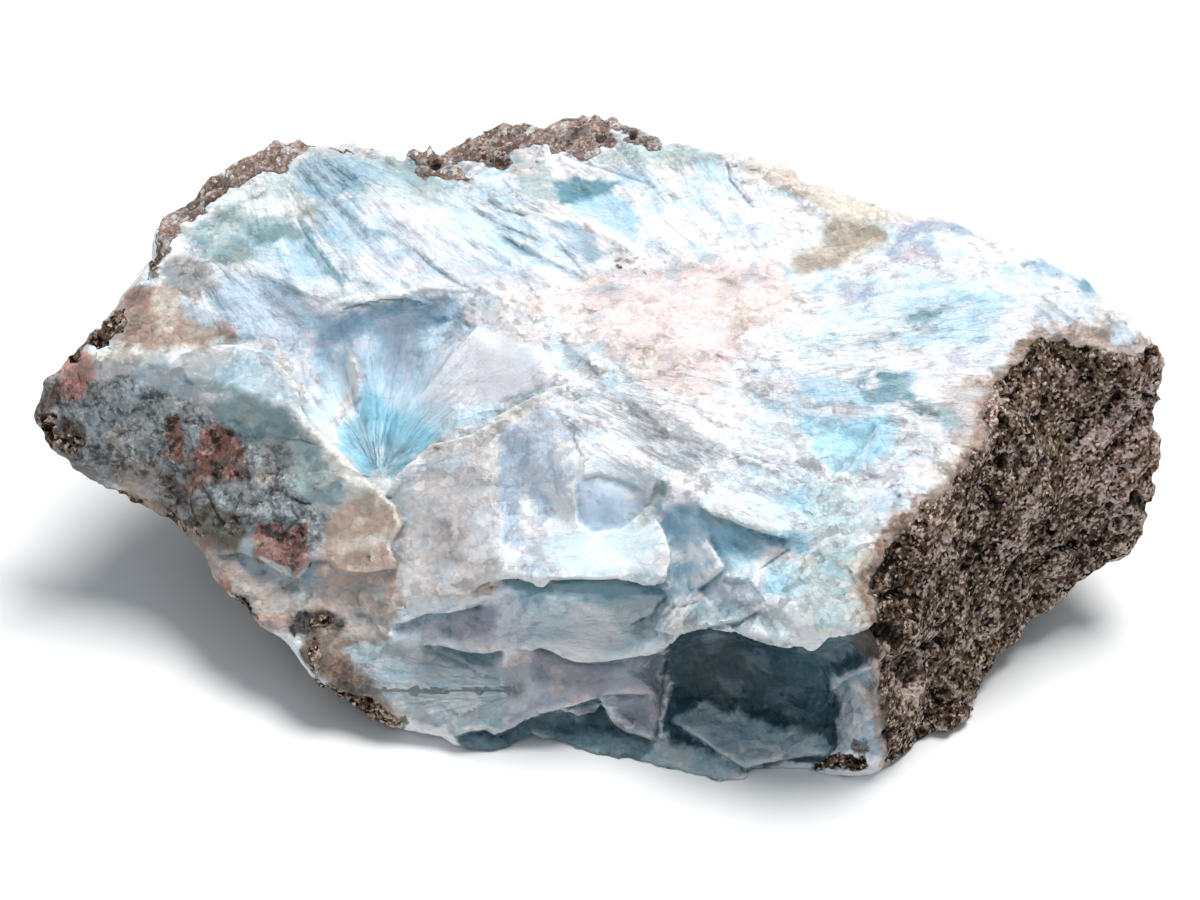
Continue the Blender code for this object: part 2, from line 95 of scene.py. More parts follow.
# Patches of rind along the rear rim and the left: across, down, reach across, reach down, turn, share
RIND_PATCHES = [
    (575, 124, 74, 22, 0, 1.0), (530, 136, 50, 20, -10, 1.0), (485, 142, 50, 20, -18, 1.0),
    (586, 140, 15, 16, 0, 1.0), (640, 130, 30, 9, 14, 0.9), (428, 160, 38, 11, 26, 1.0),
    (455, 176, 20, 9, 44, 0.7), (490, 160, 26, 9, 6, 0.9), (462, 148, 24, 9, -16, 0.9),
    (270, 156, 38, 19, -24, 1.0), (233, 175, 45, 13, -24, 1.0), (207, 196, 14, 24, 16, 1.0),
    (184, 218, 34, 11, -8, 1.0), (164, 238, 15, 22, 0, 1.0), (296, 146, 28, 9, 4, 0.9),
    (385, 146, 28, 5, 26, 0.8), (340, 144, 24, 3, 0, 0.6), (155, 262, 10, 14, 0, 0.7),
    (104, 330, 36, 9, -42, 1.0), (72, 352, 14, 9, -20, 0.9), (45, 430, 20, 28, 0, 1.0),
    (64, 446, 24, 16, 0, 0.9), (318, 622, 22, 9, 12, 0.9), (352, 702, 76, 12, 25, 0.9),
    (312, 655, 8, 26, -14, 0.9), (838, 766, 34, 10, 0, 0.9), (862, 748, 16, 14, 0, 0.6),
    (208, 584, 20, 5, 44, 0.7), (245, 607, 30, 5, 44, 0.6), (110, 495, 40, 6, 12, 0.8),
    (180, 524, 36, 6, 28, 0.8), (140, 305, 12, 18, 24, 0.4), (160, 270, 8, 18, 10, 0.4),
]

# Holes in the rind, sunk in and painted near black as painted shade: across, down, reach across, reach down,
# turn, share
RIND_HOLES = [
    (1007, 420, 8, 8, 0, 1.0), (1012, 392, 14, 5, 10, 0.6), (988, 490, 7, 8, 0, 0.9),
    (1046, 530, 5, 11, 10, 0.9), (1090, 511, 4, 10, 24, 0.9), (1060, 549, 16, 7, -24, 1.0),
    (1136, 504, 13, 9, -36, 1.0), (1120, 521, 7, 6, 0, 0.8), (895, 597, 12, 8, -10, 1.0),
    (936, 641, 14, 6, -24, 1.0), (886, 638, 30, 14, 6, 1.0), (905, 672, 12, 20, 30, 0.7),
    (978, 604, 5, 10, 16, 0.8), (1000, 605, 5, 8, 0, 0.7), (972, 570, 7, 5, 0, 0.6),
    (1108, 410, 8, 8, 0, 0.6), (1150, 500, 5, 14, 20, 0.7), (1085, 556, 10, 6, -30, 0.6),
    (880, 570, 9, 16, 30, 0.8), (960, 545, 5, 9, 0, 0.6), (1030, 500, 6, 4, 0, 0.6),
    (1100, 545, 6, 10, 30, 0.6), (940, 690, 8, 5, 0, 0.6), (990, 640, 18, 5, -20, 0.5),
    (1020, 470, 5, 14, 0, 0.5), (955, 480, 6, 8, 0, 0.5), (1070, 440, 6, 4, 0, 0.5),
]

# Soft patches with a texture of their own: across, down, reach across, reach down, turn, share
PATCHES = {
    "smooth": [
        (500, 368, 60, 44, 0, 1.0), (600, 550, 84, 44, 0, 1.0), (610, 500, 44, 34, 0, 1.0),
        (385, 390, 80, 74, 0, 0.8), (450, 525, 60, 76, 0, 0.6), (590, 620, 80, 36, 0, 0.7),
        (450, 635, 60, 22, -8, 0.4), (560, 684, 110, 36, 0, 0.5), (540, 480, 46, 76, 0, 0.5),
        (755, 512, 60, 30, 20, 0.6), (700, 540, 30, 40, 0, 0.5), (765, 740, 80, 20, 0, 0.3),
        (850, 440, 50, 36, 0, 0.5), (430, 240, 90, 54, 20, 0.45), (245, 378, 64, 30, 20, 0.5),
        (360, 535, 40, 36, 0, 0.4), (620, 460, 50, 24, 0, 0.6), (600, 225, 50, 24, 30, 0.4),
        (270, 305, 60, 34, 10, 0.5), (700, 320, 110, 44, 0, 0.35),
    ],
    "tan": [
        (858, 236, 40, 18, 10, 1.0), (835, 252, 46, 14, -14, 0.9), (810, 262, 26, 12, -20, 0.7),
        (800, 190, 20, 6, 14, 0.8), (822, 205, 40, 10, 14, 0.5), (845, 225, 40, 8, 0, 0.5),
        (760, 172, 30, 8, 20, 0.4), (165, 315, 50, 30, -8, 0.4), (110, 470, 50, 12, 28, 0.4),
        (190, 335, 40, 10, 0, 0.6), (225, 332, 30, 8, 10, 0.5), (130, 335, 30, 12, 0, 0.5),
        (250, 590, 50, 18, 30, 0.4), (475, 445, 18, 10, -20, 0.5), (495, 450, 8, 20, 0, 0.5),
        (492, 520, 6, 60, 0, 0.4), (480, 588, 16, 6, -20, 0.9), (460, 590, 50, 12, -5, 0.4),
        (440, 540, 50, 40, 0, 0.2), (630, 262, 14, 2, 6, 0.8), (588, 231, 7, 3, 20, 0.9),
        (455, 180, 30, 10, 30, 0.7), (870, 560, 20, 26, 0, 0.8), (900, 520, 26, 15, -34, 0.7),
        (940, 490, 24, 16, -40, 0.7), (968, 450, 18, 34, 20, 0.6), (985, 380, 36, 10, -14, 0.8),
        (1035, 345, 34, 8, -10, 0.8), (1100, 340, 20, 10, 0, 0.5), (870, 610, 14, 20, 0, 0.6),
        (745, 325, 16, 8, -30, 0.4), (800, 300, 20, 8, 0, 0.3), (660, 132, 34, 7, 10, 0.7),
        (225, 570, 30, 14, 30, 0.4), (340, 640, 40, 16, 10, 0.4), (195, 265, 22, 14, 0, 0.3),
    ],
    "weathered": [
        (140, 432, 110, 60, 8, 1.0), (95, 425, 76, 54, 0, 1.0), (240, 485, 64, 62, 20, 1.0),
        (295, 525, 36, 40, 0, 0.9), (60, 410, 40, 60, 0, 1.0), (200, 500, 60, 40, 20, 1.0),
        (215, 455, 50, 40, 0, 0.9), (345, 680, 60, 36, 20, 0.5),
    ],
    "pale_rind": [
        (1110, 450, 40, 60, 30, 0.8), (1142, 400, 26, 60, 0, 0.7), (1130, 480, 30, 50, 30, 0.6),
        (975, 410, 36, 40, 0, 0.8), (925, 540, 44, 26, -40, 0.7), (905, 680, 20, 34, 0, 0.7),
        (1060, 380, 30, 24, 0, 0.6), (570, 130, 100, 34, 0, 1.0), (440, 165, 44, 24, 20, 1.0),
        (250, 160, 80, 30, -20, 1.0), (170, 230, 34, 24, 0, 0.8), (1010, 560, 60, 40, -30, 0.3),
    ],
    "bleached": [
        (570, 130, 110, 40, 0, 1.0), (440, 165, 60, 34, 20, 1.0), (250, 160, 90, 40, -20, 1.0),
        (175, 225, 44, 34, 0, 0.9), (385, 146, 40, 14, 20, 1.0),
    ],
    "rust": [
        (222, 436, 26, 16, 16, 1.0), (212, 450, 16, 16, 0, 0.7), (170, 434, 15, 17, 0, 0.9),
        (80, 384, 14, 8, -20, 0.7), (70, 395, 10, 8, 0, 0.6), (284, 552, 30, 20, -10, 1.0),
        (300, 565, 14, 16, 0, 0.9), (182, 492, 16, 9, 20, 0.7), (246, 450, 9, 9, 0, 0.7),
        (232, 468, 10, 10, 0, 0.7), (304, 532, 10, 14, 0, 0.8), (270, 538, 18, 12, 0, 0.8),
        (206, 432, 8, 8, 0, 0.8), (212, 470, 7, 7, 0, 0.6), (160, 452, 8, 6, 0, 0.6),
        (176, 452, 8, 10, 0, 0.7), (190, 480, 8, 8, 0, 0.6),
        (196, 465, 14, 22, 0, 0.5), (110, 330, 20, 8, -40, 0.3), (150, 300, 8, 30, 20, 0.5),
        (230, 590, 24, 7, 44, 0.6), (840, 768, 30, 9, 0, 0.6), (345, 640, 14, 26, 0, 0.25),
        (875, 560, 10, 22, 0, 0.5), (442, 448, 3, 3, 0, 0.9), (480, 588, 14, 4, -24, 0.6),
        (268, 302, 5, 2, 10, 0.9), (340, 189, 4, 3, 0, 0.8), (411, 233, 2, 3, 0, 0.7),
        (615, 264, 9, 2, 0, 0.9), (640, 268, 8, 2, 12, 0.8), (669, 228, 3, 2, 0, 0.7),
    ],
}

# Ground colours, as the shares of red, green and blue light that they send back
WHITE = (0.90, 0.90, 0.925)
PALETTE = {
    "white": (0.95, 0.95, 0.95),
    "pearl": (0.82, 0.83, 0.90),
    "pale sky": (0.70, 0.83, 0.91),
    "sky": (0.48, 0.68, 0.81),
    "cyan": (0.50, 0.78, 0.92),
    "deep sky": (0.36, 0.7, 0.85),
    "mist": (0.37, 0.52, 0.63),
    "hollow blue": (0.68, 0.86, 0.98),
    "blue grey": (0.50, 0.61, 0.73),
    "steel": (0.62, 0.76, 0.92),
    "teal": (0.14, 0.31, 0.38),
    "soft teal": (0.25, 0.41, 0.49),
    "green": (0.2, 0.31, 0.32),
    "green grey": (0.35, 0.46, 0.47),
    "pale sage": (0.52, 0.63, 0.63),
    "grey": (0.40, 0.42, 0.45),
    "dull grey": (0.35, 0.353, 0.36),
    "lilac": (0.45, 0.49, 0.60),
    "lilac blue": (0.60, 0.68, 0.80),
    "lens": (0.78, 0.79, 0.85),
    "warm grey": (0.74, 0.70, 0.70),
    "pink": (0.89, 0.72, 0.695),
    "pink grey": (0.58, 0.50, 0.50),
    "tan pink": (0.55, 0.42, 0.36),
    "cream": (0.80, 0.72, 0.64),
    "beige": (0.80, 0.68, 0.60),
    "slab shade": (0.31, 0.56, 0.69),
    # under teal: painted shade for the bands under the ledges and in the cavity
    "under teal": (0.14, 0.27, 0.33),
    "under blue": (0.88, 0.96, 1),
    "under grey": (0.62, 0.60, 0.66),
    "low grey": (0.34, 0.35, 0.40),
    "low teal": (0.41, 0.485, 0.52),
    # plate: the bottom plates' own grey teal, darkened further as painted shade
    "plate": (0.065, 0.145, 0.185),
    # cavity: painted shade for the hollow under the cavity roof
    "cavity": (0.042, 0.098, 0.125),
    "cavity floor": (0.46, 0.58, 0.64),
    "block": (0.50, 0.56, 0.61),
    "frost": (0.64, 0.74, 0.83),
    "bowl": (0.7, 0.82, 0.88),
    "hollow shade": (0.65, 0.79, 0.92),
    "quartz": (0.50, 0.415, 0.38),
    "tan facet": (0.58, 0.45, 0.37),
    "peach": (0.44, 0.32, 0.27),
    "brown": (0.16, 0.11, 0.085),
    "earth": (0.22, 0.155, 0.12),
    "olive": (0.17, 0.145, 0.10),
    "red": (0.6, 0.27, 0.22),
    # notch: near black, painted shade in the notch
    "notch": (0.03, 0.025, 0.022),
    "speckled": (0.50, 0.42, 0.40),
    "lobe grey": (0.44, 0.49, 0.52),
}

# The ground colour's areas: colour, softness of the edge, share, and corners across and down
AREAS = [
    # The far left of the top
    ("frost", 14, 0.7, [
        (180, 250), (260, 175), (330, 150), (440, 160), (560, 190), (600, 250), (520, 262), (440, 275),
        (330, 300), (240, 300)]),
    ("pale sage", 10, 0.7, [
        (205, 200), (260, 175), (330, 150), (420, 160), (470, 200), (330, 215), (240, 230)]),
    ("pearl", 12, 0.8, [(345, 190), (480, 215), (520, 290), (440, 295), (380, 285), (345, 240)]),
    ("mist", 8, 0.8, [(300, 160), (345, 156), (372, 172), (352, 192), (330, 205), (296, 196)]),
    ("mist", 6, 0.5, [(345, 166), (400, 158), (440, 182), (400, 186), (352, 184)]),
    ("soft teal", 3, 0.6, [(340, 178), (356, 178), (360, 186), (346, 187)]),
    ("mist", 5, 0.5, [(306, 200), (362, 200), (366, 240), (330, 246), (310, 226)]),
    ("green grey", 8, 0.8, [
        (390, 160), (412, 160), (440, 178), (474, 196), (458, 212), (424, 196), (396, 180)]),
    ("soft teal", 4, 0.6, [(438, 200), (452, 198), (470, 214), (484, 222), (462, 222), (444, 212)]),
    ("grey", 6, 0.5, [(300, 142), (390, 142), (404, 158), (350, 156), (305, 155)]),
    ("green grey", 8, 0.7, [(176, 226), (210, 216), (260, 205), (300, 214), (262, 262), (204, 262)]),
    ("pale sage", 6, 0.9, [(176, 226), (212, 219), (242, 226), (246, 240), (204, 240), (180, 240)]),
    ("white", 4, 0.7, [(206, 198), (236, 186), (262, 180), (262, 192), (236, 202), (212, 208)]),
    ("white", 4, 0.7, [(244, 196), (290, 200), (300, 212), (262, 216), (240, 208)]),
    ("green", 4, 0.9, [
        (246, 219), (262, 225), (296, 225), (304, 234), (298, 240), (280, 240), (272, 247), (262, 244),
        (250, 240)]),
    ("green", 4, 0.75, [(215, 209), (236, 206), (243, 218), (226, 223), (214, 219)]),
    ("green", 5, 0.6, [(212, 246), (236, 243), (262, 250), (256, 262), (240, 266), (218, 260)]),
    ("green", 4, 0.65, [(302, 214), (312, 204), (332, 200), (342, 205), (324, 213), (310, 220)]),
    ("sky", 8, 0.8, [(250, 246), (300, 240), (322, 256), (336, 280), (300, 276), (262, 266)]),
    ("soft teal", 3, 0.85, [
        (297, 213), (306, 222), (322, 250), (337, 268), (352, 300), (343, 296), (326, 273), (308, 250)]),
    ("sky", 6, 0.7, [(316, 206), (346, 206), (362, 238), (360, 262), (334, 250), (318, 228)]),
    ("soft teal", 4, 0.7, [(343, 212), (354, 211), (368, 228), (400, 240), (366, 240), (348, 232)]),
    ("blue grey", 5, 0.5, [(360, 236), (380, 240), (400, 262), (390, 276), (368, 256)]),
    ("grey", 3, 0.5, [(383, 219), (412, 221), (412, 226), (388, 225)]),
    ("blue grey", 4, 0.7, [(394, 240), (415, 248), (430, 260), (450, 278), (434, 274), (412, 258)]),
    ("blue grey", 5, 0.9, [
        (206, 290), (232, 280), (265, 278), (300, 296), (332, 322), (300, 342), (256, 336), (228, 326),
        (214, 306)]),
    ("soft teal", 4, 0.7, [(202, 288), (222, 292), (240, 302), (228, 312), (212, 308)]),
    ("soft teal", 4, 0.6, [(258, 277), (284, 280), (300, 292), (280, 296)]),
    ("sky", 5, 0.6, [(300, 308), (330, 318), (318, 338), (290, 332)]),
    # The middle of the top
    ("pale sky", 8, 0.8, [
        (440, 190), (500, 190), (560, 250), (592, 282), (558, 272), (500, 250), (448, 238)]),
    ("cyan", 6, 0.7, [(474, 188), (496, 184), (520, 204), (524, 216), (496, 206)]),
    ("sky", 5, 0.7, [(486, 206), (520, 216), (546, 238), (520, 234), (496, 222)]),
    ("green grey", 5, 0.75, [
        (506, 152), (540, 160), (556, 178), (556, 196), (568, 208), (546, 204), (534, 206), (520, 190)]),
    ("pink grey", 6, 0.5, [(500, 146), (532, 148), (530, 176), (508, 168)]),
    ("white", 4, 0.9, [(536, 206), (566, 211), (600, 224), (626, 243), (648, 262), (628, 262), (600, 240)]),
    ("mist", 4, 0.85, [(546, 222), (572, 216), (594, 234), (604, 256), (590, 264), (568, 252)]),
    ("soft teal", 3, 0.7, [(574, 242), (600, 248), (612, 246), (618, 258), (590, 262)]),
    ("soft teal", 3, 0.7, [(494, 229), (506, 230), (526, 244), (548, 260), (530, 256), (506, 242)]),
    ("blue grey", 4, 0.6, [(540, 258), (560, 264), (586, 282), (566, 278)]),
    ("teal", 3, 1.0, [
        (556, 178), (600, 180), (620, 186), (610, 198), (596, 200), (578, 206), (562, 206), (556, 194)]),
    ("sky", 5, 0.9, [(566, 210), (576, 203), (604, 198), (626, 204), (640, 222), (636, 244), (604, 226)]),
    ("pale sage", 6, 0.9, [
        (590, 152), (650, 140), (722, 150), (728, 162), (690, 170), (640, 164), (600, 168)]),
    ("green grey", 5, 0.7, [(676, 150), (716, 152), (722, 160), (690, 165)]),
    ("mist", 4, 0.6, [(604, 166), (640, 168), (662, 182), (640, 186), (616, 176)]),
    ("sky", 5, 0.6, [(694, 164), (726, 162), (730, 182), (712, 187), (698, 184)]),
    ("pale sky", 8, 0.8, [(610, 178), (690, 178), (724, 190), (705, 212), (650, 206)]),
    ("blue grey", 3, 0.6, [(728, 172), (742, 188), (756, 204), (744, 202), (732, 190)]),
    ("blue grey", 5, 0.5, [(640, 236), (662, 232), (668, 252), (646, 256)]),
    ("lilac", 3, 0.6, [(746, 228), (758, 226), (764, 234), (750, 238)]),
    ("pearl", 6, 0.8, [(756, 222), (780, 222), (784, 242), (764, 246)]),
    ("lilac", 10, 0.4, [(440, 264), (480, 262), (545, 274), (560, 290), (500, 292), (450, 284)]),
    # The pink middle
    ("pink", 18, 0.85, [
        (580, 270), (700, 258), (780, 262), (800, 300), (745, 340), (710, 400), (650, 392), (600, 350),
        (540, 322), (500, 300), (560, 290)]),
    ("pink grey", 5, 0.6, [
        (620, 345), (640, 336), (660, 334), (664, 346), (684, 352), (680, 364), (640, 362)]),
    ("pink grey", 8, 0.4, [(640, 362), (690, 366), (686, 390), (660, 386)]),
    ("pink grey", 6, 0.65, [(710, 288), (740, 268), (762, 270), (738, 298), (716, 300)]),
    ("pink grey", 5, 0.5, [(586, 280), (606, 276), (632, 296), (612, 308), (592, 302)]),
    ("pink grey", 5, 0.5, [(670, 252), (690, 254), (712, 268), (690, 280), (670, 278)]),
    ("tan pink", 4, 0.5, [(725, 326), (748, 308), (764, 318), (748, 336)]),
    ("pink grey", 6, 0.4, [(780, 285), (820, 288), (822, 300), (790, 306)]),
    ("pink grey", 6, 0.5, [(450, 300), (500, 300), (545, 330), (550, 350), (500, 335), (470, 325)]),
    ("pink grey", 5, 0.5, [(500, 302), (540, 308), (560, 316), (520, 312)]),
    ("grey", 4, 0.7, [(548, 328), (562, 334), (586, 356), (602, 376), (586, 374), (562, 352)]),
    ("grey", 4, 0.6, [(570, 384), (590, 386), (600, 400), (580, 399)]),
    ("grey", 4, 0.6, [(620, 396), (640, 404), (668, 430), (664, 444), (644, 440), (634, 418)]),
    ("lilac", 4, 0.6, [(664, 446), (690, 442), (724, 458), (690, 460)]),
    ("lilac", 10, 0.4, [(470, 395), (560, 400), (600, 430), (560, 440), (500, 430)]),
    ("pearl", 6, 0.7, [(742, 454), (790, 456), (820, 468), (816, 484), (776, 470)]),
    # The right of the top
    ("frost", 12, 0.5, [(900, 270), (1040, 256), (1110, 300), (1040, 336), (960, 344), (910, 330)]),
    ("pale sky", 14, 0.65, [
        (820, 310), (880, 282), (1000, 268), (1080, 290), (1040, 330), (960, 345), (870, 350), (820, 345)]),
    ("sky", 6, 0.7, [(900, 300), (960, 292), (1020, 292), (1030, 304), (960, 326), (900, 322)]),
    ("sky", 5, 0.6, [(882, 336), (940, 328), (990, 326), (975, 342), (900, 346)]),
    ("teal", 3, 0.65, [(906, 321), (924, 311), (943, 311), (940, 320), (914, 325)]),
    ("teal", 3, 0.7, [(936, 302), (946, 299), (954, 304), (942, 308)]),
    ("mist", 3, 0.6, [(960, 295), (984, 297), (990, 302), (962, 302)]),
    ("soft teal", 2, 0.6, [(862, 350), (876, 344), (880, 347), (868, 353)]),
    ("cream", 6, 0.9, [
        (775, 162), (840, 182), (884, 212), (888, 240), (852, 264), (800, 272), (786, 252), (828, 236),
        (828, 210), (786, 190)]),
    ("beige", 4, 0.7, [(820, 186), (880, 196), (935, 215), (850, 218), (810, 203)]),
    ("beige", 6, 0.7, [(728, 150), (780, 160), (820, 180), (850, 205), (840, 212), (780, 190), (735, 165)]),
    ("lilac", 4, 0.85, [(884, 222), (945, 219), (966, 222), (1005, 241), (960, 238), (930, 232), (900, 236)]),
    ("lilac", 4, 0.8, [(880, 248), (905, 240), (934, 240), (936, 258), (912, 268), (890, 262)]),
    ("lilac", 6, 0.7, [(832, 286), (850, 280), (872, 284), (868, 298), (842, 302)]),
    ("mist", 4, 0.8, [(1030, 256), (1040, 250), (1056, 262), (1060, 276), (1044, 278), (1032, 268)]),
    ("soft teal", 3, 0.9, [(1076, 282), (1086, 274), (1098, 288), (1094, 298), (1080, 298)]),
    ("pearl", 8, 0.8, [
        (1030, 280), (1080, 290), (1100, 306), (1090, 335), (1050, 332), (1000, 340), (1010, 300)]),
    ("grey", 3, 0.6, [(1042, 294), (1060, 304), (1078, 322), (1064, 318), (1048, 304)]),
    ("grey", 3, 0.6, [(1032, 304), (1048, 312), (1056, 322), (1040, 316)]),
    ("grey", 5, 0.5, [(1080, 306), (1104, 304), (1134, 318), (1128, 334), (1100, 332)]),
    ("blue grey", 5, 0.8, [(1104, 330), (1128, 328), (1140, 344), (1128, 358), (1110, 358)]),
    ("lens", 8, 0.8, [(940, 346), (1000, 342), (1040, 326), (1030, 348), (990, 372), (950, 366)]),
    ("lilac", 5, 0.6, [(942, 352), (966, 350), (970, 364), (950, 368)]),
    ("pearl", 8, 0.8, [(740, 378), (800, 372), (860, 374), (830, 404), (780, 402)]),
    ("sky", 8, 0.8, [(790, 378), (880, 372), (920, 366), (912, 402), (850, 404), (820, 400)]),
    ("soft teal", 4, 1.0, [(850, 380), (874, 366), (908, 370), (916, 398), (886, 404), (860, 395)]),
    ("teal", 4, 0.4, [(862, 386), (880, 374), (900, 380), (888, 396)]),
    ("teal", 2, 0.6, [(848, 379), (862, 371), (874, 369), (868, 379)]),
    ("white", 2, 1.0, [(834, 376), (850, 381), (866, 380), (876, 373), (878, 384), (864, 386), (840, 384)]),
    ("teal", 2, 0.8, [(902, 400), (918, 402), (938, 410), (924, 416)]),
    ("green grey", 4, 0.7, [(916, 406), (950, 402), (966, 424), (956, 440), (940, 428)]),
    ("lens", 5, 0.7, [(906, 362), (946, 360), (960, 378), (930, 380)]),
    ("cyan", 14, 1.0, [(800, 418), (880, 414), (906, 428), (892, 452), (850, 482), (812, 455)]),
    ("soft teal", 4, 0.4, [(852, 424), (878, 424), (874, 446), (858, 452)]),
    ("green grey", 5, 0.5, [(886, 432), (936, 432), (944, 446), (896, 448)]),
    ("pale sky", 12, 0.8, [(700, 460), (790, 480), (860, 500), (860, 560), (800, 560), (740, 500)]),
    ("pale sage", 8, 0.6, [(806, 490), (880, 470), (880, 530), (830, 560), (810, 530)]),
    ("lens", 8, 0.8, [(868, 462), (920, 440), (944, 452), (924, 490), (880, 520), (856, 520)]),
    ("cream", 4, 0.8, [(924, 460), (950, 452), (962, 462), (946, 484), (926, 482)]),
    ("speckled", 6, 0.6, [(940, 388), (985, 378), (1000, 398), (985, 450), (958, 455), (948, 420)]),
    ("speckled", 5, 0.5, [(890, 520), (930, 494), (945, 500), (905, 535), (880, 560), (872, 548)]),
    # The hollow
    ("hollow shade", 4, 1.0, [
        (318, 330), (372, 312), (400, 300), (440, 293), (454, 298), (470, 326), (452, 346), (430, 380),
        (412, 402), (400, 430), (380, 440), (350, 400), (318, 388)]),
    # Painted shade under the crest: the blue grey band, and the soft teal strip along its top
    ("blue grey", 4, 0.75, [
        (372, 312), (400, 300), (440, 293), (454, 298), (470, 324), (430, 330), (380, 336), (318, 344),
        (318, 328)]),
    ("soft teal", 5, 0.6, [(366, 306), (400, 300), (446, 294), (452, 304), (416, 314), (372, 318)]),
    ("hollow blue", 4, 0.9, [(366, 340), (384, 336), (386, 392), (376, 408), (368, 396)]),
    ("lilac blue", 2, 0.8, [(388, 334), (400, 318), (410, 318), (402, 362), (392, 392), (385, 396)]),
    ("pearl", 2, 0.6, [(404, 344), (416, 328), (424, 330), (414, 364), (402, 384)]),
    ("hollow blue", 3, 0.8, [(430, 326), (444, 326), (424, 376), (408, 398), (404, 392), (418, 360)]),
    ("lilac blue", 3, 0.7, [(448, 328), (464, 328), (440, 362), (424, 382)]),
    ("cyan", 12, 0.7, [(410, 404), (440, 384), (470, 398), (480, 414), (450, 432), (420, 436)]),
    ("pale sky", 12, 0.6, [(440, 380), (480, 372), (512, 392), (506, 408), (480, 424), (446, 424)]),
    ("deep sky", 6, 0.95, [
        (334, 428), (360, 408), (368, 380), (384, 400), (402, 412), (432, 424), (448, 436), (430, 446),
        (405, 466), (378, 482), (352, 462)]),
    ("mist", 5, 0.6, [(340, 428), (362, 412), (370, 430), (364, 454), (350, 450)]),
    ("soft teal", 4, 0.6, [(362, 440), (380, 436), (412, 452), (385, 480), (366, 474)]),
    ("pale sky", 2, 0.7, [(366, 452), (374, 446), (386, 450), (384, 458), (372, 460)]),
    ("pale sky", 2, 0.7, [(370, 470), (380, 464), (392, 466), (386, 476), (374, 478)]),
    ("deep sky", 2, 0.7, [(392, 436), (410, 432), (418, 442), (402, 450)]),
    ("pale sky", 4, 0.9, [(318, 386), (352, 370), (352, 388), (330, 428), (304, 416)]),
    ("white", 3, 0.9, [(344, 358), (352, 353), (360, 362), (362, 388), (352, 404), (348, 380)]),
    ("tan facet", 2, 0.7, [(346, 392), (356, 386), (358, 396), (348, 408), (338, 412)]),
    ("lilac", 8, 0.4, [(235, 332), (305, 334), (318, 352), (314, 385), (300, 390), (270, 352)]),
    ("pale sky", 6, 0.8, [
        (190, 345), (240, 343), (275, 356), (300, 392), (282, 402), (230, 368), (190, 362)]),
    ("lens", 5, 1.0, [
        (446, 345), (480, 338), (530, 350), (556, 380), (530, 396), (500, 406), (440, 402), (420, 399)]),
    ("cream", 5, 0.8, [
        (262, 345), (285, 360), (303, 385), (304, 408), (330, 438), (360, 468), (385, 487), (396, 500),
        (376, 500), (350, 495), (335, 470), (312, 445), (292, 420), (286, 396), (270, 368)]),
    ("cream", 4, 0.7, [
        (385, 492), (404, 468), (432, 445), (475, 434), (500, 414), (548, 390), (552, 400), (505, 424),
        (490, 448), (440, 455), (405, 480)]),
    # The front
    ("warm grey", 8, 1.0, [
        (386, 494), (420, 468), (480, 446), (504, 440), (502, 585), (440, 600), (400, 604), (404, 520)]),
    ("grey", 5, 0.5, [(450, 462), (482, 456), (492, 492), (460, 502)]),
    ("blue grey", 5, 0.5, [(400, 466), (440, 452), (474, 446), (472, 466), (404, 482)]),
    ("grey", 5, 0.4, [(416, 536), (446, 520), (466, 530), (470, 560), (430, 580)]),
    ("lens", 5, 0.6, [(466, 516), (490, 500), (502, 520), (498, 560), (474, 548)]),
    ("lilac blue", 4, 1.0, [
        (500, 430), (550, 410), (574, 424), (578, 470), (562, 500), (545, 522), (522, 548), (503, 548)]),
    ("blue grey", 3, 0.7, [(502, 440), (530, 424), (540, 440), (518, 470), (519, 545), (504, 546)]),
    ("steel", 3, 0.7, [(530, 430), (556, 424), (560, 450), (536, 470)]),
    ("white", 2, 0.9, [(560, 440), (572, 443), (582, 476), (570, 472), (564, 456)]),
    ("white", 2, 0.9, [(540, 478), (552, 480), (566, 500), (578, 526), (564, 522), (552, 504)]),
    ("white", 3, 0.8, [(520, 500), (532, 496), (540, 520), (530, 540), (520, 530)]),
    ("lilac", 4, 0.5, [(520, 555), (545, 525), (560, 540), (550, 575), (520, 575)]),
    ("bowl", 8, 0.9, [(545, 540), (600, 530), (660, 520), (668, 560), (650, 580), (560, 580)]),
    ("pale sky", 8, 0.7, [(586, 455), (640, 462), (652, 490), (600, 482)]),
    ("steel", 3, 0.95, [
        (574, 478), (590, 480), (640, 500), (654, 500), (640, 514), (620, 530), (590, 533), (577, 520)]),
    ("blue grey", 3, 0.6, [(594, 504), (624, 494), (650, 502), (630, 520), (604, 528)]),
    ("green grey", 4, 0.7, [(632, 512), (655, 503), (664, 516), (650, 526), (630, 526)]),
    ("green", 2, 0.9, [(650, 490), (655, 480), (664, 476), (671, 485), (668, 499), (652, 500)]),
    ("warm grey", 4, 0.6, [(650, 552), (668, 546), (666, 568), (650, 572)]),
    ("sky", 4, 0.9, [(660, 502), (700, 504), (716, 530), (700, 546), (674, 546), (662, 530)]),
    ("soft teal", 3, 0.7, [(672, 503), (692, 502), (696, 512), (678, 514)]),
    ("soft teal", 3, 0.6, [(696, 508), (722, 510), (724, 524), (704, 524)]),
    ("sky", 4, 0.8, [(680, 534), (704, 536), (706, 548), (684, 550)]),
    ("sky", 5, 0.8, [(748, 488), (796, 490), (816, 514), (790, 512)]),
    ("soft teal", 4, 0.5, [(770, 490), (796, 490), (800, 502), (780, 504)]),
    ("pale sage", 3, 0.9, [(712, 514), (736, 518), (772, 530), (786, 538), (750, 536), (722, 528)]),
    ("slab shade", 3, 0.95, [
        (708, 520), (730, 526), (765, 538), (800, 530), (812, 552), (785, 548), (745, 556), (716, 552)]),
    ("soft teal", 3, 0.6, [(728, 536), (760, 540), (766, 548), (740, 550)]),
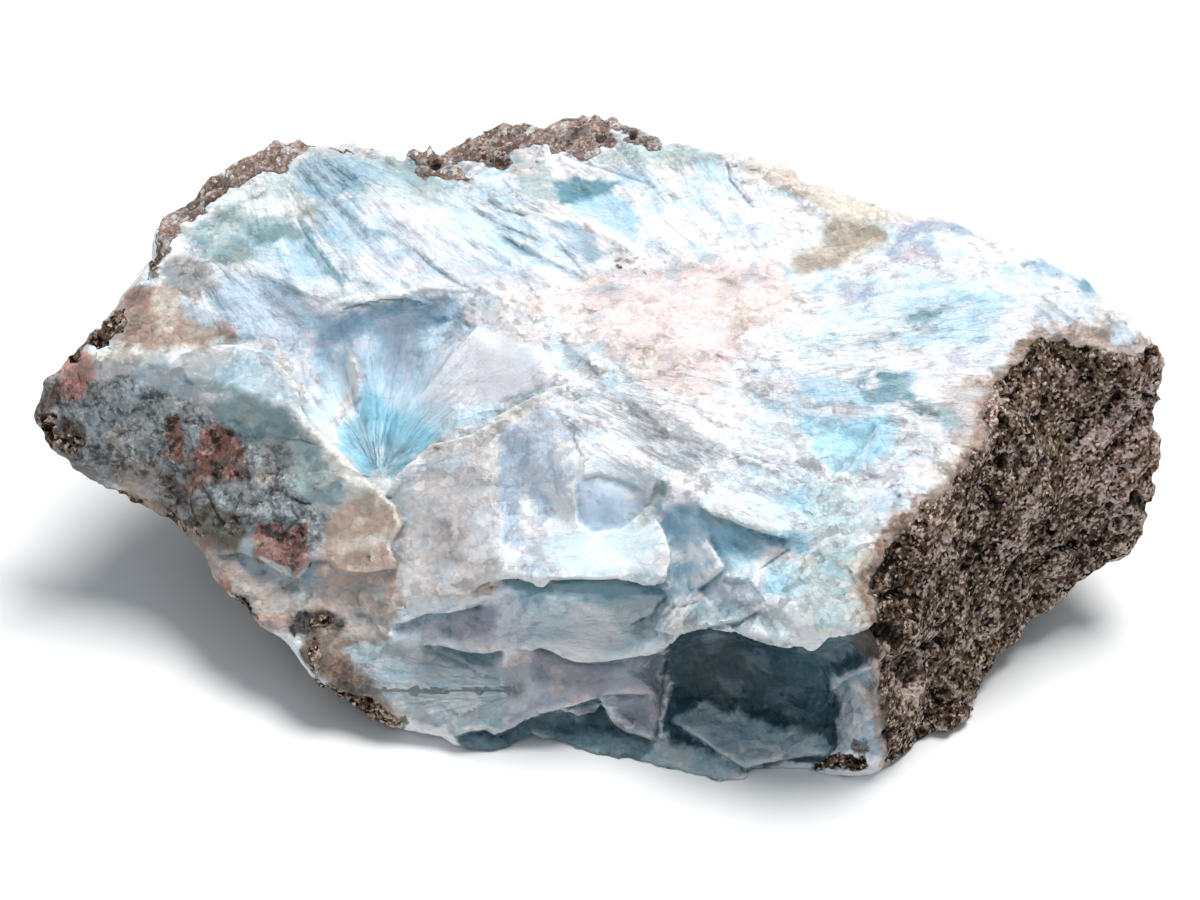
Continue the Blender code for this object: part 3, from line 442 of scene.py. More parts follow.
    ("cyan", 3, 0.8, [(718, 556), (744, 548), (770, 550), (752, 562), (728, 570)]),
    ("sky", 3, 0.8, [(670, 562), (700, 560), (714, 556), (712, 566), (690, 572), (672, 576)]),
    ("blue grey", 3, 0.8, [
        (718, 558), (730, 580), (747, 577), (766, 602), (740, 610), (704, 600), (700, 590), (716, 576)]),
    ("cyan", 6, 0.8, [(758, 572), (800, 562), (816, 590), (784, 602), (764, 596)]),
    ("sky", 4, 1.0, [(766, 562), (802, 556), (808, 588), (772, 596)]),
    ("deep sky", 4, 0.35, [(766, 562), (802, 556), (808, 588), (772, 596)]),
    ("low teal", 5, 0.9, [(652, 630), (700, 608), (760, 602), (752, 620), (700, 630), (676, 634)]),
    ("low teal", 3, 0.7, [(752, 622), (768, 608), (788, 606), (796, 632), (772, 640)]),
    ("pale sage", 8, 0.8, [(800, 560), (850, 540), (880, 560), (866, 620), (820, 640), (800, 610)]),
    ("cream", 8, 0.7, [(840, 560), (880, 548), (884, 570), (870, 600), (884, 622), (850, 630)]),
    ("quartz", 6, 1.0, [
        (190, 548), (240, 536), (300, 545), (330, 550), (398, 550), (402, 604), (392, 630),
        (372, 655), (340, 628), (300, 628), (250, 640), (205, 600)]),
    ("pink grey", 6, 0.6, [(212, 556), (245, 556), (280, 590), (262, 612), (232, 590)]),
    ("quartz", 5, 0.8, [(320, 604), (388, 600), (376, 652), (352, 625), (330, 615)]),
    ("cream", 2, 0.9, [(290, 596), (298, 585), (306, 590), (304, 602)]),
    ("cream", 3, 0.6, [(340, 606), (372, 604), (370, 612), (344, 614)]),
    ("tan facet", 4, 1.0, [
        (314, 536), (330, 512), (350, 494), (378, 492), (396, 505), (406, 526), (390, 545), (397, 566),
        (340, 574), (322, 552)]),
    ("cream", 3, 0.7, [(340, 538), (388, 532), (392, 544), (345, 552)]),
    ("earth", 6, 0.9, [(296, 630), (345, 632), (380, 650), (400, 670), (400, 725), (340, 695), (308, 668)]),
    ("low teal", 5, 0.6, [(330, 640), (376, 662), (398, 690), (360, 690), (336, 668)]),
    ("brown", 4, 0.9, [(292, 622), (330, 626), (346, 640), (336, 676), (308, 668)]),
    ("earth", 5, 0.95, [(330, 634), (384, 640), (392, 690), (350, 694), (326, 676)]),
    ("brown", 4, 0.8, [(322, 670), (346, 676), (356, 698), (332, 692)]),
    # Painted shade in the notch
    ("notch", 2, 1.0, [(300, 608), (334, 608), (350, 624), (336, 640), (312, 634), (292, 640), (286, 628)]),
    ("peach", 8, 1.0, [
        (105, 340), (112, 312), (130, 290), (168, 284), (190, 302), (225, 322), (246, 336), (200, 346),
        (150, 348)]),
    ("cream", 4, 0.7, [(150, 300), (166, 286), (186, 300), (176, 330), (158, 326)]),
    ("earth", 4, 0.6, [(128, 296), (148, 286), (152, 304), (142, 330), (128, 326)]),
    ("dull grey", 5, 0.9, [(158, 262), (180, 256), (210, 262), (216, 288), (200, 300), (166, 290)]),
    ("blue grey", 5, 0.8, [(186, 304), (222, 312), (236, 330), (205, 332), (186, 322)]),
    # The weathered end
    ("lobe grey", 5, 1.0, [
        (92, 354), (160, 362), (235, 370), (300, 405), (346, 495), (330, 520), (314, 580), (268, 580),
        (200, 545), (110, 500), (40, 450), (35, 400)]),
    ("cream", 4, 0.9, [(92, 366), (96, 352), (150, 348), (200, 344), (240, 342), (236, 352), (160, 362)]),
    ("pale sky", 5, 1.0, [
        (160, 366), (200, 354), (262, 350), (296, 384), (302, 412), (270, 402), (230, 392), (190, 374)]),
    ("green grey", 4, 0.8, [(196, 372), (226, 384), (262, 396), (250, 402), (206, 392)]),
    ("green", 5, 0.8, [(205, 406), (242, 398), (290, 410), (305, 428), (290, 441), (250, 440), (225, 430)]),
    ("green grey", 6, 0.9, [(280, 446), (310, 436), (334, 466), (344, 496), (312, 506), (286, 482)]),
    ("cream", 4, 0.7, [(250, 470), (268, 464), (280, 476), (262, 486)]),
    ("cream", 5, 0.6, [(102, 430), (124, 424), (142, 436), (138, 454), (112, 456)]),
    ("pale sky", 4, 0.5, [(116, 436), (132, 432), (138, 446), (122, 450)]),
    ("pale sky", 5, 0.65, [(112, 384), (136, 376), (150, 392), (128, 402)]),
    ("earth", 4, 0.9, [(176, 452), (246, 450), (256, 476), (222, 486), (196, 480), (180, 470)]),
    ("brown", 5, 0.7, [(160, 464), (190, 470), (210, 496), (208, 516), (180, 510), (160, 488)]),
    ("olive", 5, 1.0, [(188, 506), (226, 500), (246, 536), (232, 554), (204, 548)]),
    ("peach", 6, 0.5, [(120, 456), (160, 462), (176, 500), (200, 520), (150, 506), (116, 482)]),
    ("earth", 4, 0.5, [(240, 510), (262, 516), (272, 536), (250, 536)]),
    ("red", 4, 0.9, [(56, 372), (66, 352), (92, 350), (96, 372), (86, 396), (62, 398)]),
    ("earth", 4, 0.9, [(30, 400), (44, 376), (60, 372), (62, 400), (52, 424), (32, 424)]),
    ("brown", 4, 0.9, [(34, 424), (60, 418), (84, 428), (84, 448), (60, 462), (40, 444)]),
    ("earth", 4, 0.8, [
        (48, 452), (80, 458), (112, 488), (160, 498), (206, 532), (240, 560), (204, 552), (150, 516),
        (104, 506)]),
    ("white", 3, 1.0, [(160, 350), (232, 346), (238, 362), (200, 366), (166, 368)]),
    # Under the ledge
    ("under grey", 8, 1.0, [(400, 622), (430, 612), (500, 600), (520, 610), (516, 655), (420, 646)]),
    ("under blue", 6, 1.0, [
        (508, 596), (650, 598), (672, 600), (650, 655), (600, 663), (560, 655), (518, 648)]),
    # Painted shade just below the front ledge's rim: soft teal fading into under teal
    ("soft teal", 9, 0.7, [
        (512, 582), (545, 587), (620, 580), (670, 583), (662, 610), (610, 616), (560, 600), (516, 606)]),
    ("under teal", 4, 0.9, [
        (500, 579), (530, 583), (545, 587), (552, 580), (620, 580), (650, 587), (670, 583), (664, 598),
        (620, 602), (560, 594), (520, 599), (502, 592)]),
    ("white", 3, 0.95, [(556, 604), (600, 606), (622, 640), (606, 658), (570, 656), (546, 626)]),
    ("lens", 3, 0.8, [(500, 596), (512, 590), (518, 606), (532, 622), (526, 650), (508, 656), (498, 630)]),
    ("low grey", 3, 0.7, [(430, 622), (470, 608), (496, 604), (494, 628), (468, 636), (440, 640)]),
    ("low teal", 5, 0.6, [(606, 600), (672, 594), (644, 632), (626, 640), (612, 612)]),
    # Painted shade under the ledge's right end
    ("plate", 4, 0.5, [(636, 630), (652, 616), (676, 600), (664, 622), (646, 646)]),
    ("white", 3, 0.4, [(498, 600), (512, 606), (510, 650), (498, 650)]),
    ("low teal", 5, 1.0, [
        (340, 650), (380, 640), (420, 646), (500, 654), (505, 700), (500, 735), (455, 737), (400, 715)]),
    ("low grey", 7, 1.0, [
        (505, 660), (540, 648), (600, 664), (668, 654), (660, 742), (640, 738), (602, 700), (560, 708),
        (505, 734)]),
    ("warm grey", 3, 0.45, [(505, 655), (530, 656), (536, 690), (526, 706), (510, 716)]),
    ("block", 3, 0.5, [(600, 668), (640, 660), (662, 656), (656, 672), (620, 680)]),
    ("grey", 3, 0.4, [(540, 664), (580, 672), (592, 690), (560, 700), (530, 704)]),
    ("under grey", 2, 0.5, [(530, 690), (552, 680), (566, 668), (572, 676), (548, 694), (534, 704)]),
    # The bottom plates, darkened as painted shade
    ("plate", 3, 0.95, [
        (452, 738), (484, 730), (496, 738), (530, 717), (575, 705), (600, 698), (608, 716), (640, 737),
        (665, 745), (745, 790), (640, 775), (560, 752), (480, 765)]),
    ("low teal", 3, 0.6, [(560, 712), (600, 702), (602, 710), (578, 719)]),
    # Painted shade in the cavity under its roof
    ("cavity", 4, 1.0, [
        (668, 652), (690, 632), (720, 628), (760, 638), (810, 650), (850, 634), (884, 628), (880, 660),
        (836, 684), (832, 760), (740, 772), (664, 745)]),
    # Painted shade, deeper in the cavity
    ("under teal", 3, 0.3, [(780, 660), (812, 660), (826, 690), (812, 704), (790, 694)]),
    ("brown", 4, 0.6, [(848, 640), (884, 630), (884, 656), (858, 664)]),
    ("cavity floor", 3, 0.9, [
        (674, 722), (700, 702), (760, 722), (830, 742), (828, 754), (740, 768), (712, 748)]),
    ("soft teal", 5, 0.6, [(690, 606), (740, 604), (742, 628), (700, 632)]),
    ("cavity floor", 3, 0.30, [(786, 640), (846, 640), (850, 656), (820, 664), (796, 660)]),
    # Painted shade in the cavity
    ("plate", 4, 0.6, [(782, 668), (834, 664), (836, 706), (806, 714), (784, 702)]),
    ("earth", 4, 0.15, [(690, 650), (730, 640), (760, 660), (756, 690), (716, 700), (690, 684)]),
    # Painted shade, deeper in the cavity
    ("under teal", 2, 0.35, [(806, 676), (824, 670), (820, 690)]),
    ("steel", 2, 0.18, [(700, 640), (716, 636), (724, 650), (708, 656)]),
    ("steel", 2, 0.16, [(740, 650), (762, 652), (770, 672), (752, 668)]),
    ("steel", 2, 0.16, [(716, 676), (740, 680), (748, 696), (722, 692)]),
    ("steel", 2, 0.14, [(760, 690), (784, 690), (796, 716), (770, 712)]),
    ("low teal", 4, 0.9, [(655, 745), (700, 746), (748, 770), (745, 790), (680, 775), (640, 760)]),
    ("block", 3, 0.9, [(832, 680), (862, 666), (890, 690), (890, 760), (838, 754)]),
    ("olive", 4, 0.7, [(880, 664), (892, 676), (896, 740), (886, 748)]),
]

# Fans of fibres, in two layers so that those of one layer stay clear of each other: the fan's
# point, the middle of the fan and its reach, all across and down, and the share of fibre it shows
FANS = [
    [
        ((190, 40), (370, 225), (150, 100), 0.5),
        ((884, 440), (655, 200), (125, 75), 0.45),
        ((378, 475), (392, 395), (98, 95), 0.7),
        ((460, 400), (930, 350), (190, 100), 0.55),
        ((520, 690), (440, 685), (95, 50), 0.5),
        ((600, 440), (745, 535), (80, 52), 0.4),
        ((640, 560), (745, 700), (90, 55), 0.3),
    ],
    [
        ((150, 200), (262, 290), (90, 55), 0.4),
        ((190, 40), (525, 240), (105, 65), 0.6),
        ((420, 330), (690, 425), (150, 72), 0.45),
        ((540, 250), (535, 490), (50, 85), 0.2),
        ((300, 610), (590, 640), (100, 45), 0.3),
        ((640, 100), (800, 230), (80, 60), 0.3),
    ],
]

# Cracks and creases: width in mm, share, and their places across and down
CRACKS = [
    (0.20, 0.8, [(722, 461), (745, 455), (775, 465), (790, 475), (812, 489)]),
    (0.25, 0.9, [(727, 160), (730, 178), (745, 198), (758, 211)]),
    (0.20, 0.7, [(558, 151), (585, 163), (612, 171), (652, 185)]),
    (0.18, 0.5, [(652, 205), (666, 222), (690, 242), (700, 247)]),
    (0.15, 0.4, [(668, 164), (685, 178), (690, 196)]),
    (0.18, 0.6, [(466, 207), (500, 224), (546, 243)]),
    (0.22, 0.7, [(498, 232), (520, 246), (546, 259), (590, 280)]),
    (0.18, 0.6, [(486, 199), (505, 210), (528, 217)]),
    (0.20, 0.6, [(500, 176), (512, 190), (524, 206), (548, 214)]),
    (0.18, 0.5, [(552, 232), (566, 251), (592, 282)]),
    (0.20, 0.6, [(392, 238), (415, 250), (428, 263), (446, 276), (470, 290)]),
    (0.15, 0.4, [(352, 252), (372, 270), (398, 291)]),
    (0.15, 0.4, [(345, 230), (365, 250), (400, 280)]),
    (0.20, 0.5, [(297, 216), (305, 233), (322, 256), (338, 280), (348, 298)]),
    (0.30, 1.0, [(276, 545), (285, 532), (293, 524), (302, 520)]),
    (0.22, 0.9, [(290, 495), (293, 510), (300, 522), (303, 540)]),
    (0.20, 0.8, [(290, 495), (300, 503), (312, 504)]),
    (0.22, 0.8, [(200, 480), (208, 495), (215, 510), (228, 530)]),
    (0.20, 0.7, [(228, 520), (238, 517), (250, 516)]),
    (0.18, 0.6, [(282, 440), (300, 439), (320, 446)]),
    (0.18, 0.8, [(758, 570), (772, 560), (792, 548)]),
    (0.18, 0.4, [(405, 662), (425, 664), (445, 667), (460, 669), (482, 677), (500, 681)]),
    (0.18, 0.6, [(430, 652), (455, 662), (475, 672), (500, 680)]),
    (0.15, 0.3, [(410, 696), (450, 698), (500, 702)]),
    (0.30, 1.0, [(668, 650), (664, 690), (659, 725), (654, 745)]),
    (0.25, 1.0, [(628, 627), (640, 620), (650, 615), (660, 603), (669, 596)]),
    (0.25, 1.0, [(668, 608), (685, 606), (702, 600)]),
    (0.15, 0.25, [(376, 440), (377, 400), (371, 352)]),
    (0.15, 0.25, [(385, 430), (392, 385), (404, 330)]),
    (0.15, 0.25, [(398, 430), (414, 385), (432, 335)]),
    (0.15, 0.2, [(366, 440), (356, 415), (352, 385)]),
    (0.20, 0.8, [(474, 592), (482, 586), (492, 583)]),
]

# Ledges and ridges: how far in mm the stone stands out above and below the line, how far that
# reaches, the painted highlight along the rim above, the painted shade below, and the line's places across
# and down
EDGES = [
    (0.5, -0.9, 3.0, 0.8, 1.0, [
        (492, 583), (505, 579), (517, 580), (530, 583), (543, 588), (550, 580), (575, 579), (600, 580),
        (618, 579), (630, 582), (645, 586), (658, 585), (668, 581)]),
    (0.4, -0.5, 2.0, 0.5, 0.7, [
        (390, 624), (402, 623), (416, 618), (428, 613), (450, 612), (470, 608), (484, 603)]),
    (0.4, -0.7, 2.2, 0.6, 0.9, [
        (420, 646), (440, 646), (455, 650), (470, 653), (485, 654), (506, 650)]),
    (0.5, -0.8, 2.4, 0.9, 0.9, [
        (530, 651), (540, 648), (552, 652), (562, 658), (575, 662), (590, 663), (610, 661), (630, 658),
        (650, 655), (664, 652)]),
    (0.7, -1.2, 3.0, 0.9, 1.0, [
        (660, 654), (672, 644), (684, 634), (700, 630), (715, 630), (730, 632), (745, 636), (760, 640),
        (775, 645), (790, 647), (800, 645), (810, 650), (818, 647), (828, 638), (840, 636), (855, 634),
        (870, 628), (882, 620)]),
    (0.5, -0.7, 2.0, 0.6, 0.9, [
        (452, 738), (470, 731), (485, 730), (495, 736), (510, 730), (530, 717), (550, 711), (575, 705),
        (600, 698)]),
    (0.4, -0.7, 2.0, 0.6, 0.8, [
        (600, 698), (605, 712), (612, 722), (625, 731), (640, 735), (654, 741)]),
    (0.2, -0.4, 1.2, 0.4, 0.6, [(600, 696), (625, 694), (652, 694)]),
    (0.3, -0.4, 1.5, 0.5, 0.7, [(558, 711), (578, 718), (595, 716), (604, 706)]),
    (0.3, -0.5, 1.6, 0.4, 0.8, [(528, 733), (545, 740), (570, 748), (604, 755)]),
    (0.22, -0.17, 1.0, 0.4, 0.31, [(486, 199), (500, 207), (514, 211), (528, 215)]),
    (0.22, -0.17, 1.0, 0.4, 0.27, [(470, 206), (500, 222), (524, 234), (546, 243)]),
    (0.22, -0.22, 1.0, 0.4, 0.36, [(496, 229), (512, 240), (530, 252), (560, 266), (590, 280)]),
    (0.22, -0.17, 1.0, 0.3, 0.23, [(550, 230), (562, 246), (576, 262), (592, 278)]),
    (0.17, -0.17, 1.1, 0.3, 0.27, [(392, 242), (415, 250), (430, 262), (448, 276), (474, 290)]),
    (0.17, -0.17, 1.0, 0.2, 0.23, [(372, 262), (392, 276), (412, 288)]),
    (0.12, -0.12, 1.6, 0.2, 0.22, [(622, 396), (640, 406), (656, 420), (672, 436), (700, 441), (724, 438)]),
    (0.10, -0.10, 1.2, 0.3, 0.22, [(680, 450), (700, 456), (722, 460)]),
    (0.14, -0.14, 1.4, 0.5, 0.33, [(722, 460), (745, 460), (775, 472), (805, 486), (816, 490)]),
    (0.10, -0.10, 1.2, 0.3, 0.28, [(740, 380), (764, 398), (790, 402)]),
    (0.16, -0.14, 1.3, 0.6, 0.44, [(834, 379), (850, 382), (868, 378), (880, 372), (900, 374)]),
    (0.14, -0.14, 1.0, 0.3, 0.50, [(900, 399), (912, 408), (924, 414), (940, 412)]),
    (0.12, -0.12, 1.0, 0.3, 0.50, [(904, 318), (922, 310), (944, 311)]),
    (0.10, -0.10, 1.0, 0.3, 0.39, [(1042, 293), (1056, 303), (1074, 320)]),
    (0.10, -0.10, 1.0, 0.3, 0.39, [(1032, 303), (1046, 311), (1058, 324)]),
    (0.10, -0.10, 1.0, 0.3, 0.33, [(984, 283), (996, 289), (1020, 300)]),
    (0.10, -0.10, 1.0, 0.3, 0.39, [(980, 356), (992, 352), (1002, 356)]),
    (0.14, -0.12, 1.4, 0.4, 0.22, [(880, 422), (862, 452), (846, 472), (820, 482)]),
    (0.12, -0.12, 1.2, 0.3, 0.22, [(690, 222), (676, 226), (660, 214), (648, 200)]),
    (0.10, -0.12, 1.2, 0.2, 0.28, [(655, 246), (668, 250), (684, 262), (700, 268), (730, 266)]),
    (0.25, -0.15, 2.5, 0.5, 0.12, [(500, 181), (530, 202), (560, 209), (578, 217), (600, 236), (644, 262)]),
    (0.5, -0.5, 1.8, 0.4, 0.7, [
        (698, 505), (712, 515), (730, 520), (745, 527), (765, 533), (792, 540)]),
    (0.4, -0.5, 1.6, 0.4, 0.7, [
        (696, 590), (706, 583), (716, 575), (724, 567), (718, 556), (711, 546), (704, 536)]),
    (0.10, -0.14, 1.6, 0.4, 0.28, [(722, 576), (738, 579), (748, 576), (757, 590), (768, 603)]),
    (0.4, -0.6, 1.8, 0.6, 0.5, [(664, 584), (671, 562), (669, 545), (662, 528), (655, 519)]),
    (0.6, -0.4, 2.4, 0.8, 0.3, [
        (552, 388), (545, 392), (520, 405), (500, 415), (475, 434), (450, 441), (432, 445), (405, 468),
        (385, 490)]),
    (0.6, -0.3, 2.4, 0.6, 0.3, [
        (378, 492), (350, 464), (330, 442), (310, 426), (300, 405), (297, 385), (280, 365), (262, 351),
        (240, 345), (205, 347)]),
    (0.25, -0.15, 2.6, 0.7, 0.10, [
        (330, 304), (345, 304), (375, 303), (400, 297), (425, 290), (450, 291), (480, 291), (505, 300),
        (542, 327)]),
    (0.25, -0.2, 2.2, 0.5, 0.12, [(200, 286), (225, 274), (262, 275), (300, 292), (332, 304)]),
    (0.4, -0.3, 1.6, 0.5, 0.3, [(478, 326), (458, 346), (438, 375), (414, 403)]),
    (0.4, -0.15, 1.4, 0.7, 0.0, [(332, 426), (346, 410), (361, 396), (362, 380), (358, 364), (350, 355)]),
    (0.2, -0.2, 2.0, 0.2, 0.3, [(545, 330), (562, 338), (586, 360), (602, 378)]),
    (0.3, -0.3, 1.6, 0.4, 0.2, [(580, 478), (600, 474), (630, 482), (652, 494)]),
    (0.25, -0.35, 1.6, 0.5, 0.15, [
        (654, 500), (640, 514), (620, 530), (592, 533), (578, 522), (574, 480)]),
    (0.3, -0.4, 1.4, 0.3, 0.25, [
        (212, 556), (240, 553), (262, 560), (285, 575), (300, 578), (312, 560), (330, 560), (345, 573)]),
    (0.3, -0.4, 1.4, 0.4, 0.25, [(345, 573), (365, 572), (398, 568)]),
    (0.4, -0.4, 2.0, 0.5, 0.4, [(398, 568), (390, 545), (402, 526), (394, 505), (380, 494)]),
    (0.15, -0.5, 1.4, 0.0, 0.5, [(832, 756), (830, 720), (834, 690), (850, 676), (875, 668)]),
    (0.3, -0.4, 2.0, 0.5, 0.5, [(674, 722), (700, 738), (716, 750), (745, 768), (800, 757), (830, 752)]),
    (0.4, -0.5, 1.6, 0.6, 0.6, [(652, 630), (676, 634), (700, 628), (740, 622), (765, 606)]),
]

# Colours of the stains, the weathered end and the rind
TAN = (0.42, 0.34, 0.27)
OLIVE = (0.27, 0.23, 0.17)
WEATHERED_PALE = (0.76, 0.80, 0.82)
RUST = (0.35, 0.155, 0.12)
RUST_PALE = (0.62, 0.38, 0.31)
# RIND_DARK is near black: the rind's darkest specks, and painted shade low in its folds and hollows
RIND_DARK = (0.007, 0.004, 0.003)
RIND_BROWN = (0.125, 0.075, 0.048)
RIND_TAN = (0.37, 0.265, 0.20)
RIND_PALE = (0.80, 0.67, 0.62)


def smooth_share(value, low, high):
    """0 up to low, 1 from high, and a smooth rise between."""
    share = np.clip((value - low) / (high - low), 0.0, 1.0)
    return share * share * (3.0 - 2.0 * share)


def in_frame(points):
    """Where points are seen in the viewing frame, across and down."""
    offset = points - np.array(EYE)
    depth = offset @ np.array(FORWARD)
    across = FRAME_CENTRE[0] + FRAME_FOCAL * (offset @ np.array(RIGHT)) / depth
    down = FRAME_CENTRE[1] - FRAME_FOCAL * (offset @ np.array(UP)) / depth
    return np.stack([across, down], 1)


def lumps(points, size, seed, octaves=3):
    """Rolling noise from about -1 to 1, whose swells are about this size."""
    scaled = points / size + seed
    return np.array([noise.fractal(Vector(p), 1.0, 2.0, octaves) for p in scaled])


def cells(points, size, seed):
    """Cells of about this size: the distance to the cell's middle, its tilted plane, and its tint."""
    near = np.empty((len(points), 3))
    for row, place in enumerate(points / size + seed):
        place = Vector(place)
        distances, middles = noise.voronoi(place)
        tilt = noise.noise_vector(middles[0] * 3.7)
        near[row] = distances[0], (place - middles[0]).dot(tilt), noise.noise(middles[0] * 5.3)
    return near


def patch_share(places, patches):
    """How strongly soft patches cover each place of the frame."""
    left = np.ones(len(places))
    for across, down, reach_across, reach_down, turn, share in patches:
        cos, sin = math.cos(math.radians(turn)), math.sin(math.radians(turn))
        x = places[:, 0] - across
        y = places[:, 1] - down
        along = (x * cos + y * sin) / reach_across
        over = (-x * sin + y * cos) / reach_down
        left *= 1.0 - share * (1.0 - smooth_share(np.hypot(along, over), 0.45, 1.15))
    return 1.0 - left


def area_share(places, corners, softness):
    """1 inside an area of the frame, 0 outside it, with an edge of this softness."""
    corners = np.array(corners, float)
    low, high = corners.min(0) - softness, corners.max(0) + softness
    share = np.zeros(len(places))
    near = np.nonzero(((places > low) & (places < high)).all(1))[0]
    here = places[near]
    best = np.full(len(near), 1e9)
    inside = np.zeros(len(near), bool)
    for first, last in zip(corners, np.roll(corners, -1, axis=0)):
        run = last - first
        part = np.clip(((here - first) @ run) / (run @ run), 0.0, 1.0)
        best = np.minimum(best, np.linalg.norm(here - first - part[:, None] * run, axis=1))
        spans = (first[1] > here[:, 1]) != (last[1] > here[:, 1])
        rise = run[1] if run[1] else 1.0
        inside ^= spans & (here[:, 0] < first[0] + run[0] * (here[:, 1] - first[1]) / rise)
    share[near] = smooth_share(np.where(inside, best, -best), -softness, softness)
    return share


def line_side(places, line):
    """The distance to a line, below 0 on its left, and how far along the line the nearest place is."""
    line = np.array(line, float)
    runs = np.linalg.norm(np.diff(line, axis=0), axis=1)
    starts = np.concatenate([[0.0], np.cumsum(runs)])
    best = np.full(len(places), 1e9)
    side = np.zeros(len(places))
    along = np.zeros(len(places))
    for number, (first, last) in enumerate(zip(line[:-1], line[1:])):
        run = last - first
        share = np.clip(((places - first) @ run) / (run @ run), 0.0, 1.0)
        offset = places - first - share[:, None] * run
        distance = np.linalg.norm(offset, axis=1)
        turn = np.sign(offset[:, 1] * run[0] - offset[:, 0] * run[1])
        closer = distance < best
        best = np.where(closer, distance, best)
        side = np.where(closer, turn * distance, side)
        along = np.where(closer, (starts[number] + share * runs[number]) / starts[-1], along)
    return side, along


def warped(places, points, reach, size, seed):
    """The same places, shifted by noise so that what is drawn there gets a ragged edge."""
    shift = np.array([noise.noise_vector(Vector(p)) for p in points / size + seed])
    return places + reach * shift[:, :2]


def vertex_array(mesh, what):
    values = np.empty(len(mesh.vertices) * 3, np.float32)
    mesh.vertices.foreach_get(what, values)
    return values.reshape(-1, 3).astype(float)


def evaluated_mesh(thing):
    depsgraph = bpy.context.evaluated_depsgraph_get()
    return bpy.data.meshes.new_from_object(thing.evaluated_get(depsgraph))


def fine_skin(node):
    """The CAD stone again, as an even skin fine enough to carry the fibres and the pits."""
    welded = bmesh.new()
    welded.from_mesh(node.data)
    bmesh.ops.remove_doubles(welded, verts=welded.verts, dist=1e-6)
    mesh = bpy.data.meshes.new("larimar_stone")
    welded.to_mesh(mesh)
    welded.free()
    stone = bpy.data.objects.new("larimar_stone", mesh)
    bpy.context.scene.collection.objects.link(stone)
    even = stone.modifiers.new("even skin", "REMESH")
    even.mode = "VOXEL"
    even.voxel_size = SKIN_VOXEL
    ease = stone.modifiers.new("eased facets", "SMOOTH")
    ease.factor = 0.5
    ease.iterations = SMOOTHING_STEPS
    skin = evaluated_mesh(stone)
    stone.modifiers.clear()
    stone.data = skin
    return stone


def hidden_share(points, normals, mesh):
    """1 on the back and the underside, which the front view doesn't reach, 0 on the front."""
    tree = bvhtree.BVHTree.FromPolygons(
        [Vector(v) for v in points], [tuple(face.vertices) for face in mesh.polygons])
    away = normals @ np.array(FORWARD)
    through = np.zeros(len(points))
    for row in np.nonzero(away > -0.15)[0]:
        start = Vector(points[row])
        back = (EYE - start).normalized()
        hit = tree.ray_cast(start + back * 0.0004, back)
        if hit[0] is not None:
            through[row] = hit[3]
    hidden = smooth_share(away, -0.12, 0.12) * smooth_share(through, 0.0015, 0.006)
    front = (points[:, 1] < -0.020) & (points[:, 2] > 0.0015) & (np.abs(points[:, 0] - 0.004) < 0.034)
    return np.where(front, 0.0, hidden)


def surface_shares(points, normals, mesh):
    """Every kind of surface on the stone, as a share from 0 to 1 at each vertex."""
    places = in_frame(points)
    rough = warped(places, points, 12.0, 0.0050, 3.0)
    rough = warped(rough, points, 7.0, 0.0018, 11.0)
    rough = warped(rough, points, 4.0, 0.0008, 13.0)
    shares = {name: patch_share(rough, patches) for name, patches in PATCHES.items()}
    hidden = hidden_share(points, normals, mesh)
    inward = -line_side(rough, RIND_EDGE)[0]
    right = places[:, 0] > 840.0
    edge = right * smooth_share(inward, -9.0, 9.0)
    shares["fringe"] = right * smooth_share(inward, -22.0, -2.0)
    rind = np.maximum(edge, patch_share(rough, RIND_PATCHES))
    pale_spots = smooth_share(lumps(points, 0.016, 21.0, 3), 0.28, 0.55)
    rind = np.maximum(rind * (1.0 - hidden), hidden * (1.0 - 0.85 * pale_spots))
    for name in shares:
        shares[name] *= 1.0 - hidden
    shares["rind"] = rind
    shares["hidden"] = hidden
    shares["hole"] = patch_share(rough, RIND_HOLES) * (1.0 - hidden)
    return places, shares


def paint(places, points):
    """The stone's ground colour at each vertex, laid on area after area."""
    fine = warped(places, points, 7.0, 0.0030, 41.0)
    fine = warped(fine, points, 4.0, 0.0011, 47.0)
    facet = 0.40 * cells(points, 0.0012, 51.0)[:, 2]
    colour = np.tile(np.array(WHITE), (len(places), 1))
    for name, softness, share, corners in AREAS:
        cover = share * smooth_share(area_share(fine, corners, softness) + facet, 0.32, 0.68)
        colour += cover[:, None] * (np.array(PALETTE[name]) - colour)
    return colour


def fan_fields(places):
    """For each layer of fans: how strong the fibre is, and the place across and along the fibres."""
    layers = []
    for fans in FANS:
        strength = np.zeros(len(places))
        coordinates = np.zeros((len(places), 3))
        for number, (tip, middle, reach, share) in enumerate(fans):
            away = np.hypot((places[:, 0] - middle[0]) / reach[0], (places[:, 1] - middle[1]) / reach[1])
            here = share * (1.0 - smooth_share(away, 0.5, 1.0))
            angle = np.arctan2(places[:, 1] - tip[1], places[:, 0] - tip[0])
            radius = np.hypot(places[:, 0] - tip[0], places[:, 1] - tip[1])
            middle_radius = math.hypot(middle[0] - tip[0], middle[1] - tip[1])
            inside = here > 0.0
            strength = np.where(inside, here, strength)
            fan = np.stack([
                angle * middle_radius * METRES_PER_UNIT * 1000.0,
                radius * METRES_PER_UNIT * 1000.0,
                np.full(len(places), 10.0 * number),
            ], 1)
            coordinates = np.where(inside[:, None], fan, coordinates)
        layers.append((strength, coordinates))
    return layers


def rind_grain(points):
    """The points in axes whose last runs along the rind's folds."""
    across = RIND_RUN.orthogonal().normalized()
    axes = np.array([across, RIND_RUN.cross(across), RIND_RUN])
    return points @ axes.T


